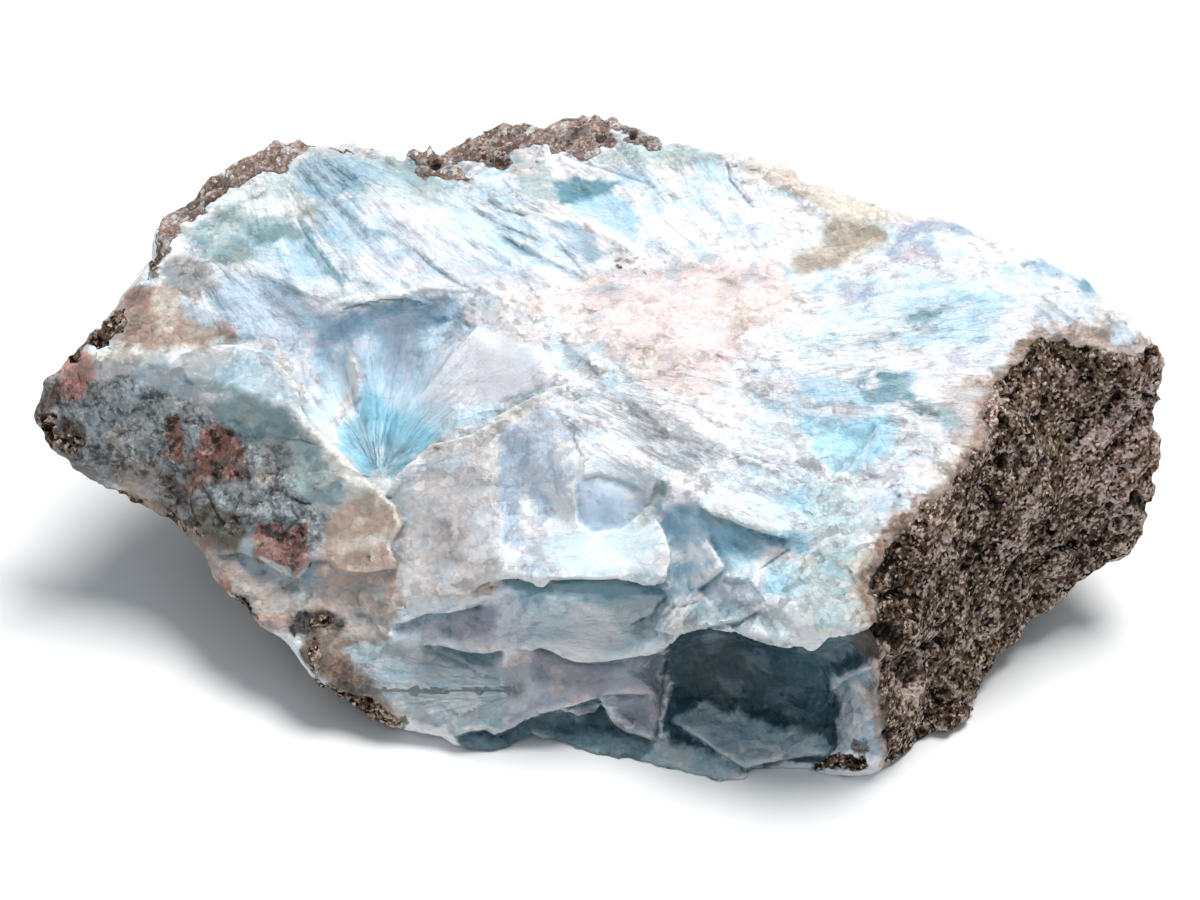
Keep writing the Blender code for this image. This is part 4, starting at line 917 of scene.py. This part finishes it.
def relief(points, places, shares, layers):
    """How far each vertex moves out along its normal, its facet's tint, and how deep in a pit it is."""
    rind = shares["rind"]
    weathered = shares["weathered"] * (1.0 - rind)
    clean = (1.0 - rind) * (1.0 - weathered)
    bent = points + 0.0012 * np.array([noise.noise_vector(Vector(p)) for p in points / 0.004])
    smooth = shares["smooth"]
    rough = 1.0 - 0.85 * smooth
    fanned = np.clip(sum(strength for strength, _ in layers), 0.0, 1.0)
    plates = cells(bent, PLATE_SIZE, 5.0)
    chips = cells(bent, CHIP_SIZE, 9.0)
    facets = PLATE_RELIEF * plates[:, 1] * (1.0 - 0.5 * fanned)
    facets += CHIP_RELIEF * chips[:, 1] * (1.0 - 0.6 * fanned)
    tint = 0.6 * plates[:, 2] + 0.6 * chips[:, 2] * (1.0 - 0.6 * fanned)
    for number, (strength, along) in enumerate(layers):
        shares_here = strength > 0.0
        inside = along[shares_here]
        wobble = np.array([noise.noise(Vector(p)) for p in points[shares_here] / 0.005])
        inside = inside + np.stack([0.5 * wobble, wobble, 0.0 * wobble], 1)
        splinters = cells(inside / (SPLINTER_WIDTH, SPLINTER_LENGTH, 1.0), 1.0, 40.0 * number)
        ridge = np.array([
            0.5 - abs(noise.noise(Vector((u * 0.55, v * 0.06, w + 40.0 * number)))) * 2.0 +
            0.5 * noise.noise(Vector((u * 1.6, v * 0.12, w + 40.0 * number + 5.0)))
            for u, v, w in inside])
        held = strength[shares_here]
        facets[shares_here] += held * (SPLINTER_RELIEF * splinters[:, 1] + FIBRE_RELIEF * ridge)
        tint[shares_here] += held * (0.6 * splinters[:, 2] + 0.2 * ridge)
    out = clean * rough * facets
    swells = lumps(points, RIND_LUMP_SIZE, 23.0, 4)
    rind_chips = cells(points, RIND_CHIP_SIZE, 19.0)
    pits = cells(bent, RIND_PIT_SIZE, 15.0)
    pit = smooth_share(0.34 - pits[:, 0], 0.0, 0.22) * (pits[:, 2] > 0.12)
    pit = np.maximum(pit, shares["hole"])
    out += rind * (RIND_LUMP_RELIEF * swells - RIND_PIT_DEPTH * pit)
    grain = rind_grain(points) / (0.0022, 0.0022, 0.0090)
    folds = np.array([0.4 - abs(noise.noise(Vector(p))) * 2.0 for p in grain])
    out += rind * RIND_FOLD_RELIEF * folds * (0.6 + 1.4 * shares["pale_rind"])
    out += rind * RIND_CHIP_RELIEF * (rind_chips[:, 1] + 0.5 - rind_chips[:, 0])
    knobs = cells(bent, KNOB_SIZE, 31.0)
    out += weathered * KNOB_RELIEF * (0.55 - knobs[:, 0] + 0.6 * knobs[:, 1]) * 2.0
    out += weathered * 0.0005 * lumps(points, 0.004, 37.0, 4)
    tint = np.where(weathered > 0.5, knobs[:, 2], tint)
    return out, tint, pit


def crack_fields(places, shares):
    """The place across the nearest crack in millimetres, and how much of a crack is there."""
    across = np.full(len(places), 9.0)
    share = np.zeros(len(places))
    for width, depth, line in CRACKS:
        side, along = line_side(places, line)
        side *= METRES_PER_UNIT * 1000.0
        ends = smooth_share(np.minimum(along, 1.0 - along), 0.0, 0.15)
        here = ends * (1.0 - smooth_share(np.abs(side), 0.5, 1.1))
        closer = (here > 0.0) & (np.abs(side) / width < np.abs(across))
        across = np.where(closer, side / width, across)
        share = np.where(closer, here * depth, share)
    return across, share * (1.0 - shares["hidden"])


def edge_fields(places, shares):
    """The relief along the ledges, and the places across their painted highlight rims and the painted shade
    below them.
    """
    out = np.zeros(len(places))
    fields = {name: np.full(len(places), 9.0) for name in ("rim_across", "painted_ledge_shade_across")}
    fields.update({name: np.zeros(len(places)) for name in ("rim", "painted_ledge_shade")})
    for above, below, reach, light, dark, line in EDGES:
        side, along = line_side(places, line)
        side *= METRES_PER_UNIT * 1000.0
        ends = smooth_share(np.minimum(along, 1.0 - along), 0.0, 0.08)
        fall = np.exp(-np.abs(side) / reach)
        step = smooth_share(side, -0.25, 0.25)
        out += 0.001 * ends * fall * (above * (1.0 - step) + below * step)
        for name, strength, outward in (("rim", light, -side), ("painted_ledge_shade", dark, side)):
            if name == "painted_ledge_shade":
                outward = outward / min(1.0, 0.5 * reach)
            band = smooth_share(outward, -0.6, -0.2) * (1.0 - smooth_share(outward, 2.2, 3.2))
            key = name + "_across"
            closer = (band * ends > 0.0) & (np.abs(outward) < np.abs(fields[key]))
            fields[key] = np.where(closer, outward, fields[key])
            fields[name] = np.where(closer, band * ends * strength, fields[name])
    front = 1.0 - shares["hidden"]
    fields["rim"] *= front
    fields["painted_ledge_shade"] *= front
    return out * front, fields


def bulge(mesh, points):
    """How far each vertex stands proud of its smoothed surroundings, in millimetres."""
    ends = np.empty(len(mesh.edges) * 2, np.int32)
    mesh.edges.foreach_get("vertices", ends)
    first, last = ends.reshape(-1, 2).T
    count = np.bincount(first, minlength=len(points)) + np.bincount(last, minlength=len(points))
    smoothed = points.copy()
    for _ in range(BULGE_STEPS):
        total = np.stack([
            np.bincount(first, smoothed[last, axis], len(points)) +
            np.bincount(last, smoothed[first, axis], len(points)) for axis in range(3)], 1)
        smoothed = 0.5 * smoothed + 0.5 * total / count[:, None]
    mesh.update()
    normals = vertex_array(mesh, "normal")
    return 1000.0 * ((points - smoothed) * normals).sum(1)


def give_attribute(mesh, name, values, kind="FLOAT"):
    layer = mesh.attributes.new(name, kind, "POINT")
    key = "vector" if kind == "FLOAT_VECTOR" else "value"
    layer.data.foreach_set(key, np.ascontiguousarray(values, np.float32).ravel())


def model_stone():
    """The dressed stone: relief on the fine skin, its shares kept on the vertices, then thinned."""
    stone = fine_skin(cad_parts["larimar"])
    mesh = stone.data
    points = vertex_array(mesh, "co")
    normals = vertex_array(mesh, "normal")
    places, shares = surface_shares(points, normals, mesh)
    layers = fan_fields(places)
    out, tint, pit = relief(points, places, shares, layers)
    across, crack = crack_fields(places, shares)
    ledge, fields = edge_fields(places, shares)
    out += ledge
    shares.update(fields)
    shares["tint"] = tint
    shares["pit"] = pit
    shares["crack_across"] = across
    shares["crack"] = crack
    groove = 0.0003 * crack * (1.0 - smooth_share(np.abs(across), 0.0, 2.0))
    steady = smooth_share(points[:, 2], 0.0, 0.0012)
    moved = points + normals * ((out - groove) * steady)[:, None]
    moved[:, 2] = np.maximum(moved[:, 2], 0.0)
    mesh.vertices.foreach_set("co", moved.astype(np.float32).ravel())
    shares["bulge"] = bulge(mesh, moved)
    for name, values in shares.items():
        give_attribute(mesh, name, values)
    give_attribute(mesh, "paint", paint(places, points), "FLOAT_VECTOR")
    give_attribute(mesh, "grain", rind_grain(points), "FLOAT_VECTOR")
    for number, (strength, along) in enumerate(layers):
        give_attribute(mesh, "fibre_%d" % number, strength)
        give_attribute(mesh, "along_%d" % number, along, "FLOAT_VECTOR")
    triangles = sum(len(face.vertices) - 2 for face in mesh.polygons)
    if triangles > MOST_TRIANGLES:
        thin = stone.modifiers.new("fewer faces", "DECIMATE")
        thin.ratio = MOST_TRIANGLES / triangles
        thinned = evaluated_mesh(stone)
        stone.modifiers.clear()
        stone.data = thinned
    stone.data.shade_smooth()
    stone.data.set_sharp_from_angle(angle=math.radians(40.0))
    return stone


class Nodes:
    """Short words for building a material's node tree."""

    def __init__(self, name):
        self.material = bpy.data.materials.new(name)
        self.material.use_nodes = True
        self.tree = self.material.node_tree
        self.shader = self.tree.nodes["Principled BSDF"]

    def link(self, value, socket):
        if isinstance(value, bpy.types.NodeSocket):
            self.tree.links.new(value, socket)
        elif isinstance(value, tuple) and len(value) == 3 and socket.type == "RGBA":
            socket.default_value = (*value, 1.0)
        else:
            socket.default_value = value

    def attribute(self, name, vector=False):
        node = self.tree.nodes.new("ShaderNodeAttribute")
        node.attribute_name = name
        return node.outputs["Vector" if vector else "Fac"]

    def place(self):
        return self.tree.nodes.new("ShaderNodeTexCoord").outputs["Object"]

    def scaled(self, vector, scale):
        node = self.tree.nodes.new("ShaderNodeMapping")
        self.link(vector, node.inputs["Vector"])
        node.inputs["Scale"].default_value = scale
        return node.outputs["Vector"]

    def math(self, operation, first, second=0.0, third=0.0, clamp=False):
        node = self.tree.nodes.new("ShaderNodeMath")
        node.operation = operation
        node.use_clamp = clamp
        self.link(first, node.inputs[0])
        self.link(second, node.inputs[1])
        self.link(third, node.inputs[2])
        return node.outputs[0]

    def turned(self, vector, angles):
        node = self.tree.nodes.new("ShaderNodeMapping")
        self.link(vector, node.inputs["Vector"])
        node.inputs["Rotation"].default_value = angles
        return node.outputs["Vector"]

    def noise_vector(self, vector, scale):
        node = self.tree.nodes.new("ShaderNodeTexNoise")
        self.link(vector, node.inputs["Vector"])
        node.inputs["Scale"].default_value = scale
        return node.outputs["Color"]

    def shifted(self, vector, shift, reach):
        node = self.tree.nodes.new("ShaderNodeVectorMath")
        node.operation = "MULTIPLY_ADD"
        self.link(shift, node.inputs[0])
        node.inputs[1].default_value = (reach, reach, reach)
        self.link(vector, node.inputs[2])
        return node.outputs[0]

    def noise(self, vector, scale, detail=3.0, roughness=0.55, distortion=0.0):
        node = self.tree.nodes.new("ShaderNodeTexNoise")
        self.link(vector, node.inputs["Vector"])
        node.inputs["Scale"].default_value = scale
        node.inputs["Detail"].default_value = detail
        node.inputs["Roughness"].default_value = roughness
        node.inputs["Distortion"].default_value = distortion
        return node.outputs["Fac"]

    def step(self, value, low, high):
        node = self.tree.nodes.new("ShaderNodeMapRange")
        node.interpolation_type = "SMOOTHSTEP"
        self.link(value, node.inputs["Value"])
        node.inputs["From Min"].default_value = low
        node.inputs["From Max"].default_value = high
        return node.outputs["Result"]

    def mix(self, share, first, second, blend="MIX"):
        node = self.tree.nodes.new("ShaderNodeMix")
        node.data_type = "RGBA"
        node.blend_type = blend
        self.link(share, node.inputs["Factor"])
        self.link(first, node.inputs["A"])
        self.link(second, node.inputs["B"])
        return node.outputs["Result"]

    def facets(self, vector, scale, size=1.0):
        """A steady random value for each small cell, and the height of the cell's tilted plane."""
        node = self.tree.nodes.new("ShaderNodeTexVoronoi")
        self.link(vector, node.inputs["Vector"])
        node.inputs["Scale"].default_value = scale
        offset = self.vector_math("SUBTRACT", vector, node.outputs["Position"])
        tilt = self.vector_math("SUBTRACT", node.outputs["Color"], (0.5, 0.5, 0.5))
        height = self.vector_math("DOT_PRODUCT", offset, tilt)
        return node.outputs["Color"], self.math("MULTIPLY", height, size)

    def vector_math(self, operation, first, second):
        node = self.tree.nodes.new("ShaderNodeVectorMath")
        node.operation = operation
        for value, socket in ((first, node.inputs[0]), (second, node.inputs[1])):
            self.link(value, socket)
        return node.outputs["Value" if operation == "DOT_PRODUCT" else "Vector"]

    def bump(self, height, strength, distance, normal=None):
        node = self.tree.nodes.new("ShaderNodeBump")
        self.link(height, node.inputs["Height"])
        node.inputs["Strength"].default_value = strength
        node.inputs["Distance"].default_value = distance
        if normal is not None:
            self.link(normal, node.inputs["Normal"])
        return node.outputs["Normal"]


def stone_material():
    """White, blue and stained fibrous larimar, its weathered end and its porous brown rind."""
    n = Nodes("larimar and rind")
    place = n.place()
    bent = n.shifted(place, n.noise_vector(place, 300.0), 0.0012)
    slabs = n.turned(n.scaled(bent, (0.55, 1.0, 1.0)), (0.0, 0.0, 0.2))
    coarse = n.noise(place, 140.0, 5.0, 0.6)
    fine = n.noise(place, 520.0, 6.0, 0.7)
    grit = n.noise(place, 1700.0, 4.0, 0.7)
    large_flake, large_height = n.facets(slabs, 300.0)
    flake, flake_height = n.facets(slabs, 640.0)
    small_flake, small_height = n.facets(bent, 1300.0)
    breakup = n.math("ADD", n.math("MULTIPLY", coarse, 0.45), n.math("MULTIPLY", fine, 0.45))
    breakup = n.math("ADD", breakup, n.math("MULTIPLY", small_flake, 0.10))
    crumb_tone, crumb_rise = n.facets(n.shifted(place, n.noise_vector(place, 700.0), 0.0008), 1900.0)
    tint = n.attribute("tint")
    bulge = n.math("MINIMUM", n.attribute("bulge"), 0.22)
    fan_share = None
    streaks = None
    splinter_height = None
    for number in range(len(FANS)):
        along = n.attribute("along_%d" % number, vector=True)
        along = n.shifted(along, n.noise_vector(n.scaled(along, (0.8, 0.25, 1.0)), 1.0), 0.6)
        strength = n.attribute("fibre_%d" % number)
        wide = n.noise(n.scaled(along, (1.3, 0.16, 1.0)), 1.0, 5.0, 0.7, 0.4)
        thin, height = n.facets(n.scaled(along, (1.3, 0.26, 1.0)), 1.0, 0.0008)
        thinner, finer = n.facets(n.scaled(along, (2.6, 0.45, 1.0)), 1.0, 0.0004)
        wedge, bevel = n.facets(n.scaled(along, (0.55, 0.07, 1.0)), 1.0, 0.0016)
        both = n.math("ADD", n.math("MULTIPLY", wide, 0.4), n.math("MULTIPLY", thin, 0.2))
        both = n.math("ADD", both, n.math("MULTIPLY", thinner, 0.15))
        both = n.math("ADD", both, n.math("MULTIPLY", wedge, 0.25))
        part = n.math("MULTIPLY", n.math("SUBTRACT", both, 0.5), strength)
        streaks = part if streaks is None else n.math("ADD", streaks, part)
        height = n.math("MULTIPLY", n.math("ADD", n.math("ADD", height, finer), bevel), strength)
        splinter_height = height if splinter_height is None else n.math("ADD", splinter_height, height)
        fan_share = strength if fan_share is None else n.math("ADD", fan_share, strength)
    plain = n.step(fan_share, 1.0, 0.0)

    def share(name, softness=0.30, wobble=0.9):
        value = n.math("ADD", n.attribute(name), n.math("MULTIPLY", n.math("SUBTRACT", breakup, 0.5), wobble))
        return n.step(value, 0.5 - softness, 0.5 + softness)

    def part(value, share_of):
        return n.math("MULTIPLY", value, share_of)

    smooth = n.math("SUBTRACT", 1.0, part(n.attribute("smooth"), 0.85))
    tone = n.math("ADD", part(large_flake, 0.55), part(flake, 0.45))
    hues = n.mix(n.step(tone, 0.38, 0.62), (0.965, 1.0, 1.015), (1.03, 0.985, 0.98))
    ground = n.mix(1.0, n.attribute("paint", vector=True), hues, "MULTIPLY")
    chips = part(n.math("SUBTRACT", flake, 0.5), 0.65)
    chips = n.math("ADD", chips, part(n.math("SUBTRACT", small_flake, 0.5), 0.30))
    chips = n.math("ADD", chips, part(n.math("SUBTRACT", large_flake, 0.5), 0.6))
    chips = part(part(chips, smooth), n.math("ADD", part(plain, 0.7), 0.3))
    # Lift: the facets' and fibres' own random tone, plus the bulge, which is painted highlight on what stands
    # proud and painted shade in the grooves; it makes the colour paler or deeper below
    lift = n.math("ADD", part(part(tint, 0.65), smooth), part(streaks, 1.5))
    lift = n.math("ADD", lift, part(n.math("SUBTRACT", fine, 0.5), part(smooth, 1.2)))
    lift = n.math("ADD", lift, chips)
    lift = n.math("ADD", lift, part(bulge, 1.2))
    bright = n.mix(1.0, n.mix(1.0, ground, (1.75, 1.45, 1.30), "MULTIPLY"), (0.94, 0.95, 0.97), "DARKEN")
    paler = n.mix(part(n.step(lift, 0.0, 0.7), 0.85), ground, bright)
    deeper = n.mix(1.0, ground, (0.66, 0.79, 0.86), "MULTIPLY")
    colour = n.mix(n.step(lift, -0.02, -0.62), paler, deeper)
    darkest = n.mix(1.0, colour, (0.58, 0.68, 0.73), "MULTIPLY")
    colour = n.mix(part(n.step(lift, -0.50, -1.1), 0.8), colour, darkest)

    weathered_share = share("weathered", 0.20, 0.5)
    low = n.mix(1.0, ground, (0.54, 0.52, 0.49), "MULTIPLY")
    weathered = n.mix(n.step(breakup, 0.40, 0.56), low, ground)
    pale = n.mix(0.65, ground, WEATHERED_PALE)
    weathered = n.mix(part(n.step(small_flake, 0.45, 0.75), 0.40), weathered, pale)
    weathered = n.mix(part(n.step(fine, 0.53, 0.62), 0.7), weathered, pale)
    mottled = n.mix(n.step(crumb_tone, 0.4, 0.6), (0.50, 0.42, 0.37), (1.30, 1.30, 1.30))
    mottled = n.mix(1.0, ground, mottled, "MULTIPLY")
    weathered = n.mix(0.5, weathered, mottled)
    # A brown stain: the weathered end's own stains, and also the painted shade in its hollows
    stain_and_hollow_shade = n.mix(1.0, ground, (0.26, 0.18, 0.14), "MULTIPLY")
    weathered = n.mix(part(n.step(fine, 0.46, 0.38), 0.8), weathered, stain_and_hollow_shade)
    # Painted highlight on what stands proud of the weathered end, and painted shade in its hollows
    weathered = n.mix(part(n.step(bulge, 0.03, 0.22), 0.45), weathered, pale)
    weathered = n.mix(part(n.step(bulge, -0.06, -0.26), 0.6), weathered, stain_and_hollow_shade)
    colour = n.mix(part(weathered_share, 0.95), colour, weathered)
    tan = n.mix(n.step(flake, 0.3, 0.7), OLIVE, (0.60, 0.50, 0.42))
    tan = n.mix(n.step(breakup, 0.42, 0.58), tan, TAN)
    colour = n.mix(part(share("tan", 0.42, 2.6), 0.85), colour, tan)
    rust = n.mix(n.step(small_flake, 0.55, 0.8), RUST, RUST_PALE)
    rust = n.mix(n.step(fine, 0.52, 0.40), rust, (0.040, 0.018, 0.013))
    colour = n.mix(part(share("rust", 0.14, 1.8), 0.92), colour, rust)

    jitter = part(n.math("SUBTRACT", coarse, 0.5), 1.6)
    # Painted shade: a dark teal band just below each ledge line
    painted_ledge_shade_across = n.attribute("painted_ledge_shade_across")
    painted_ledge_shade = part(n.step(painted_ledge_shade_across, -0.06, 0.08), n.step(n.math("ADD", painted_ledge_shade_across, jitter), 2.2, 0.2))
    painted_ledge_shade = part(painted_ledge_shade, n.attribute("painted_ledge_shade"))
    shaded = n.mix(1.0, colour, (0.34, 0.46, 0.50), "MULTIPLY")
    colour = n.mix(painted_ledge_shade, colour, shaded)
    # Painted highlight: a near-white line along the rim above each ledge
    rim_across = n.attribute("rim_across")
    rim_end = n.math("ADD", rim_across, part(jitter, 0.6))
    rim = part(n.step(rim_across, -0.08, 0.04), n.step(rim_end, 1.0, 0.1))
    rim = part(rim, part(n.attribute("rim"), 0.7))
    colour = n.mix(rim, colour, (0.93, 0.93, 0.92))
    line = n.math("SUBTRACT", 1.0, n.step(n.math("ABSOLUTE", n.attribute("crack_across")), 0.2, 1.2))
    line = n.math("MULTIPLY", part(line, n.attribute("crack")), n.step(breakup, 0.38, 0.52))
    cracked = n.mix(1.0, colour, (0.28, 0.33, 0.36), "MULTIPLY")
    colour = n.mix(part(line, 0.9), colour, cracked)

    grain = n.attribute("grain", vector=True)
    slanted = n.scaled(n.shifted(grain, n.noise_vector(place, 300.0), 0.0006), (1.0, 1.0, 0.40))
    folds = n.noise(slanted, 300.0, 6.0, 0.72)
    crumbs = n.noise(place, 900.0, 4.0, 0.65)
    crumb, crumb_height = n.facets(n.shifted(place, n.noise_vector(place, 900.0), 0.0004), 1500.0)
    speck, speck_height = n.facets(place, 2600.0)
    patches = n.noise(place, 110.0, 5.0, 0.65)
    # The rind's tone: its own mottle, grains and pale patches, made darker low in its folds, crumbs and
    # hollows and paler on what stands proud, which is partly painted shade and painted highlight
    depth = part(n.math("SUBTRACT", folds, 0.5), 1.6)
    depth = n.math("ADD", depth, part(n.math("SUBTRACT", crumbs, 0.5), 1.3))
    depth = n.math("ADD", depth, part(n.math("SUBTRACT", crumb, 0.5), 1.0))
    depth = n.math("ADD", depth, part(n.math("SUBTRACT", speck, 0.5), 0.9))
    depth = n.math("ADD", depth, part(n.math("SUBTRACT", patches, 0.5), 0.9))
    depth = n.math("ADD", depth, n.math("MULTIPLY", bulge, 0.90))
    depth = n.math("ADD", depth, part(n.attribute("pale_rind"), 0.30))
    brown = n.mix(n.step(depth, -0.42, -0.18), RIND_DARK, RIND_BROWN)
    brown = n.mix(n.step(depth, -0.02, 0.34), brown, RIND_TAN)
    brown = n.mix(part(n.step(depth, 0.30, 0.75), 0.9), brown, RIND_PALE)
    grains = n.math("ADD", speck, part(n.math("SUBTRACT", folds, 0.5), 0.8))
    grains = n.math("ADD", grains, part(n.attribute("pale_rind"), 0.05))
    brown = n.mix(part(n.step(grains, 0.76, 0.80), 0.75), brown, RIND_PALE)
    brown = n.mix(part(n.step(grains, 0.24, 0.18), 0.85), brown, RIND_DARK)
    mossy = n.mix(1.0, brown, (0.92, 0.96, 0.74), "MULTIPLY")
    brown = n.mix(part(n.step(patches, 0.55, 0.66), 0.6), brown, mossy)
    rosy = n.mix(1.0, brown, (1.20, 1.12, 1.18), "MULTIPLY")
    brown = n.mix(n.attribute("pale_rind"), brown, rosy)
    brown = n.mix(part(n.attribute("bleached"), 0.5), brown, (0.46, 0.34, 0.29))
    brown = n.mix(part(n.attribute("bleached"), n.step(small_flake, 0.66, 0.74)), brown, (0.80, 0.76, 0.74))
    # Painted shade in the pits and holes: near black
    brown = n.mix(part(n.attribute("pit"), 0.85), brown, (0.008, 0.006, 0.005))
    rind = share("rind", 0.10, 1.3)
    fringe = part(share("fringe", 0.30, 2.8), n.math("SUBTRACT", 1.0, rind))
    stained = n.mix(n.step(fine, 0.40, 0.60), (0.26, 0.15, 0.10), (0.72, 0.52, 0.42))
    stained = n.mix(1.0, colour, stained, "MULTIPLY")
    colour = n.mix(part(fringe, 0.85), colour, stained)
    colour = n.mix(rind, colour, brown)
    n.link(colour, n.shader.inputs["Base Color"])

    rough = n.math("ADD", part(fine, 0.30), 0.30)
    rough = n.math("ADD", rough, part(rind, 0.25))
    rough = n.math("ADD", rough, part(n.attribute("weathered"), 0.18), clamp=True)
    n.link(rough, n.shader.inputs["Roughness"])
    gloss = n.math("SUBTRACT", 0.45, part(n.math("MAXIMUM", rind, part(weathered_share, 0.5)), 0.40))
    n.link(gloss, n.shader.inputs["Specular IOR Level"])

    height = n.math("ADD", part(flake_height, 0.8), part(small_height, 0.6))
    height = n.math("ADD", height, part(large_height, 0.5))
    height = part(part(height, plain), smooth)
    height = n.math("ADD", height, part(splinter_height, 1.0))
    height = n.math("ADD", height, part(part(fine, smooth), 0.00035))
    height = n.math("ADD", height, part(grit, 0.00004))
    crust = n.math("ADD", part(folds, 0.0013), part(crumbs, 0.0009))
    crust = n.math("ADD", crust, part(crumb_height, 1.6))
    crust = n.math("ADD", crust, part(speck_height, 1.2))
    height = n.math("ADD", height, part(crumb_rise, part(weathered_share, 2.2)))
    height = n.math("ADD", height, part(crust, n.math("MAXIMUM", rind, part(weathered_share, 0.35))))
    n.link(n.bump(height, 1.0, 1.0), n.shader.inputs["Normal"])
    n.shader.inputs["Subsurface Weight"].default_value = 0.08
    n.shader.inputs["Subsurface Radius"].default_value = (0.8, 1.0, 1.2)
    n.shader.inputs["Subsurface Scale"].default_value = 0.0008
    return n.material


def floor_material():
    n = Nodes("pale floor")
    tone = n.noise(n.place(), 30.0, 3.0)
    n.link(n.mix(tone, (0.86, 0.86, 0.86), (0.90, 0.90, 0.90)), n.shader.inputs["Base Color"])
    n.shader.inputs["Roughness"].default_value = 0.9
    return n.material


def area_light(name, place, size, power, colour):
    data = bpy.data.lights.new(name, "AREA")
    data.shape = "DISK"
    data.size = size
    data.energy = power
    data.color = colour
    light = bpy.data.objects.new(name, data)
    light.location = place
    light.rotation_euler = (VIEW_TARGET - Vector(place)).to_track_quat("-Z", "Y").to_euler()
    bpy.context.scene.collection.objects.link(light)


def light_scene():
    area_light("key", (0.40, 0.46, 1.48), 0.85, 29.5, (1.0, 0.985, 0.965))
    world = bpy.data.worlds.new("studio")
    world.use_nodes = True
    background = world.node_tree.nodes["Background"]
    background.inputs["Color"].default_value = (0.82, 0.92, 1.0, 1.0)
    background.inputs["Strength"].default_value = 0.43
    bpy.context.scene.world = world


def lay_floor():
    bpy.ops.mesh.primitive_plane_add(size=6.0, location=(0.0, 0.0, 0.0))
    floor = bpy.context.object
    floor.name = "floor"
    floor.data.materials.append(floor_material())


def place_camera():
    data = bpy.data.cameras.new("camera")
    data.sensor_width = SENSOR_WIDTH
    data.lens = FRAME_FOCAL / FRAME_WIDTH * SENSOR_WIDTH
    data.clip_start = 0.01
    camera = bpy.data.objects.new("camera", data)
    camera.location = EYE
    camera.rotation_euler = FORWARD.to_track_quat("-Z", "Y").to_euler()
    bpy.context.scene.collection.objects.link(camera)
    bpy.context.scene.camera = camera


place_camera()
light_scene()
lay_floor()
stone = model_stone()
stone.data.materials.clear()
stone.data.materials.append(stone_material())
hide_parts("larimar")
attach(stone, "root")

scene = bpy.context.scene
scene.view_settings.view_transform = "Standard"
scene.view_settings.look = "None"
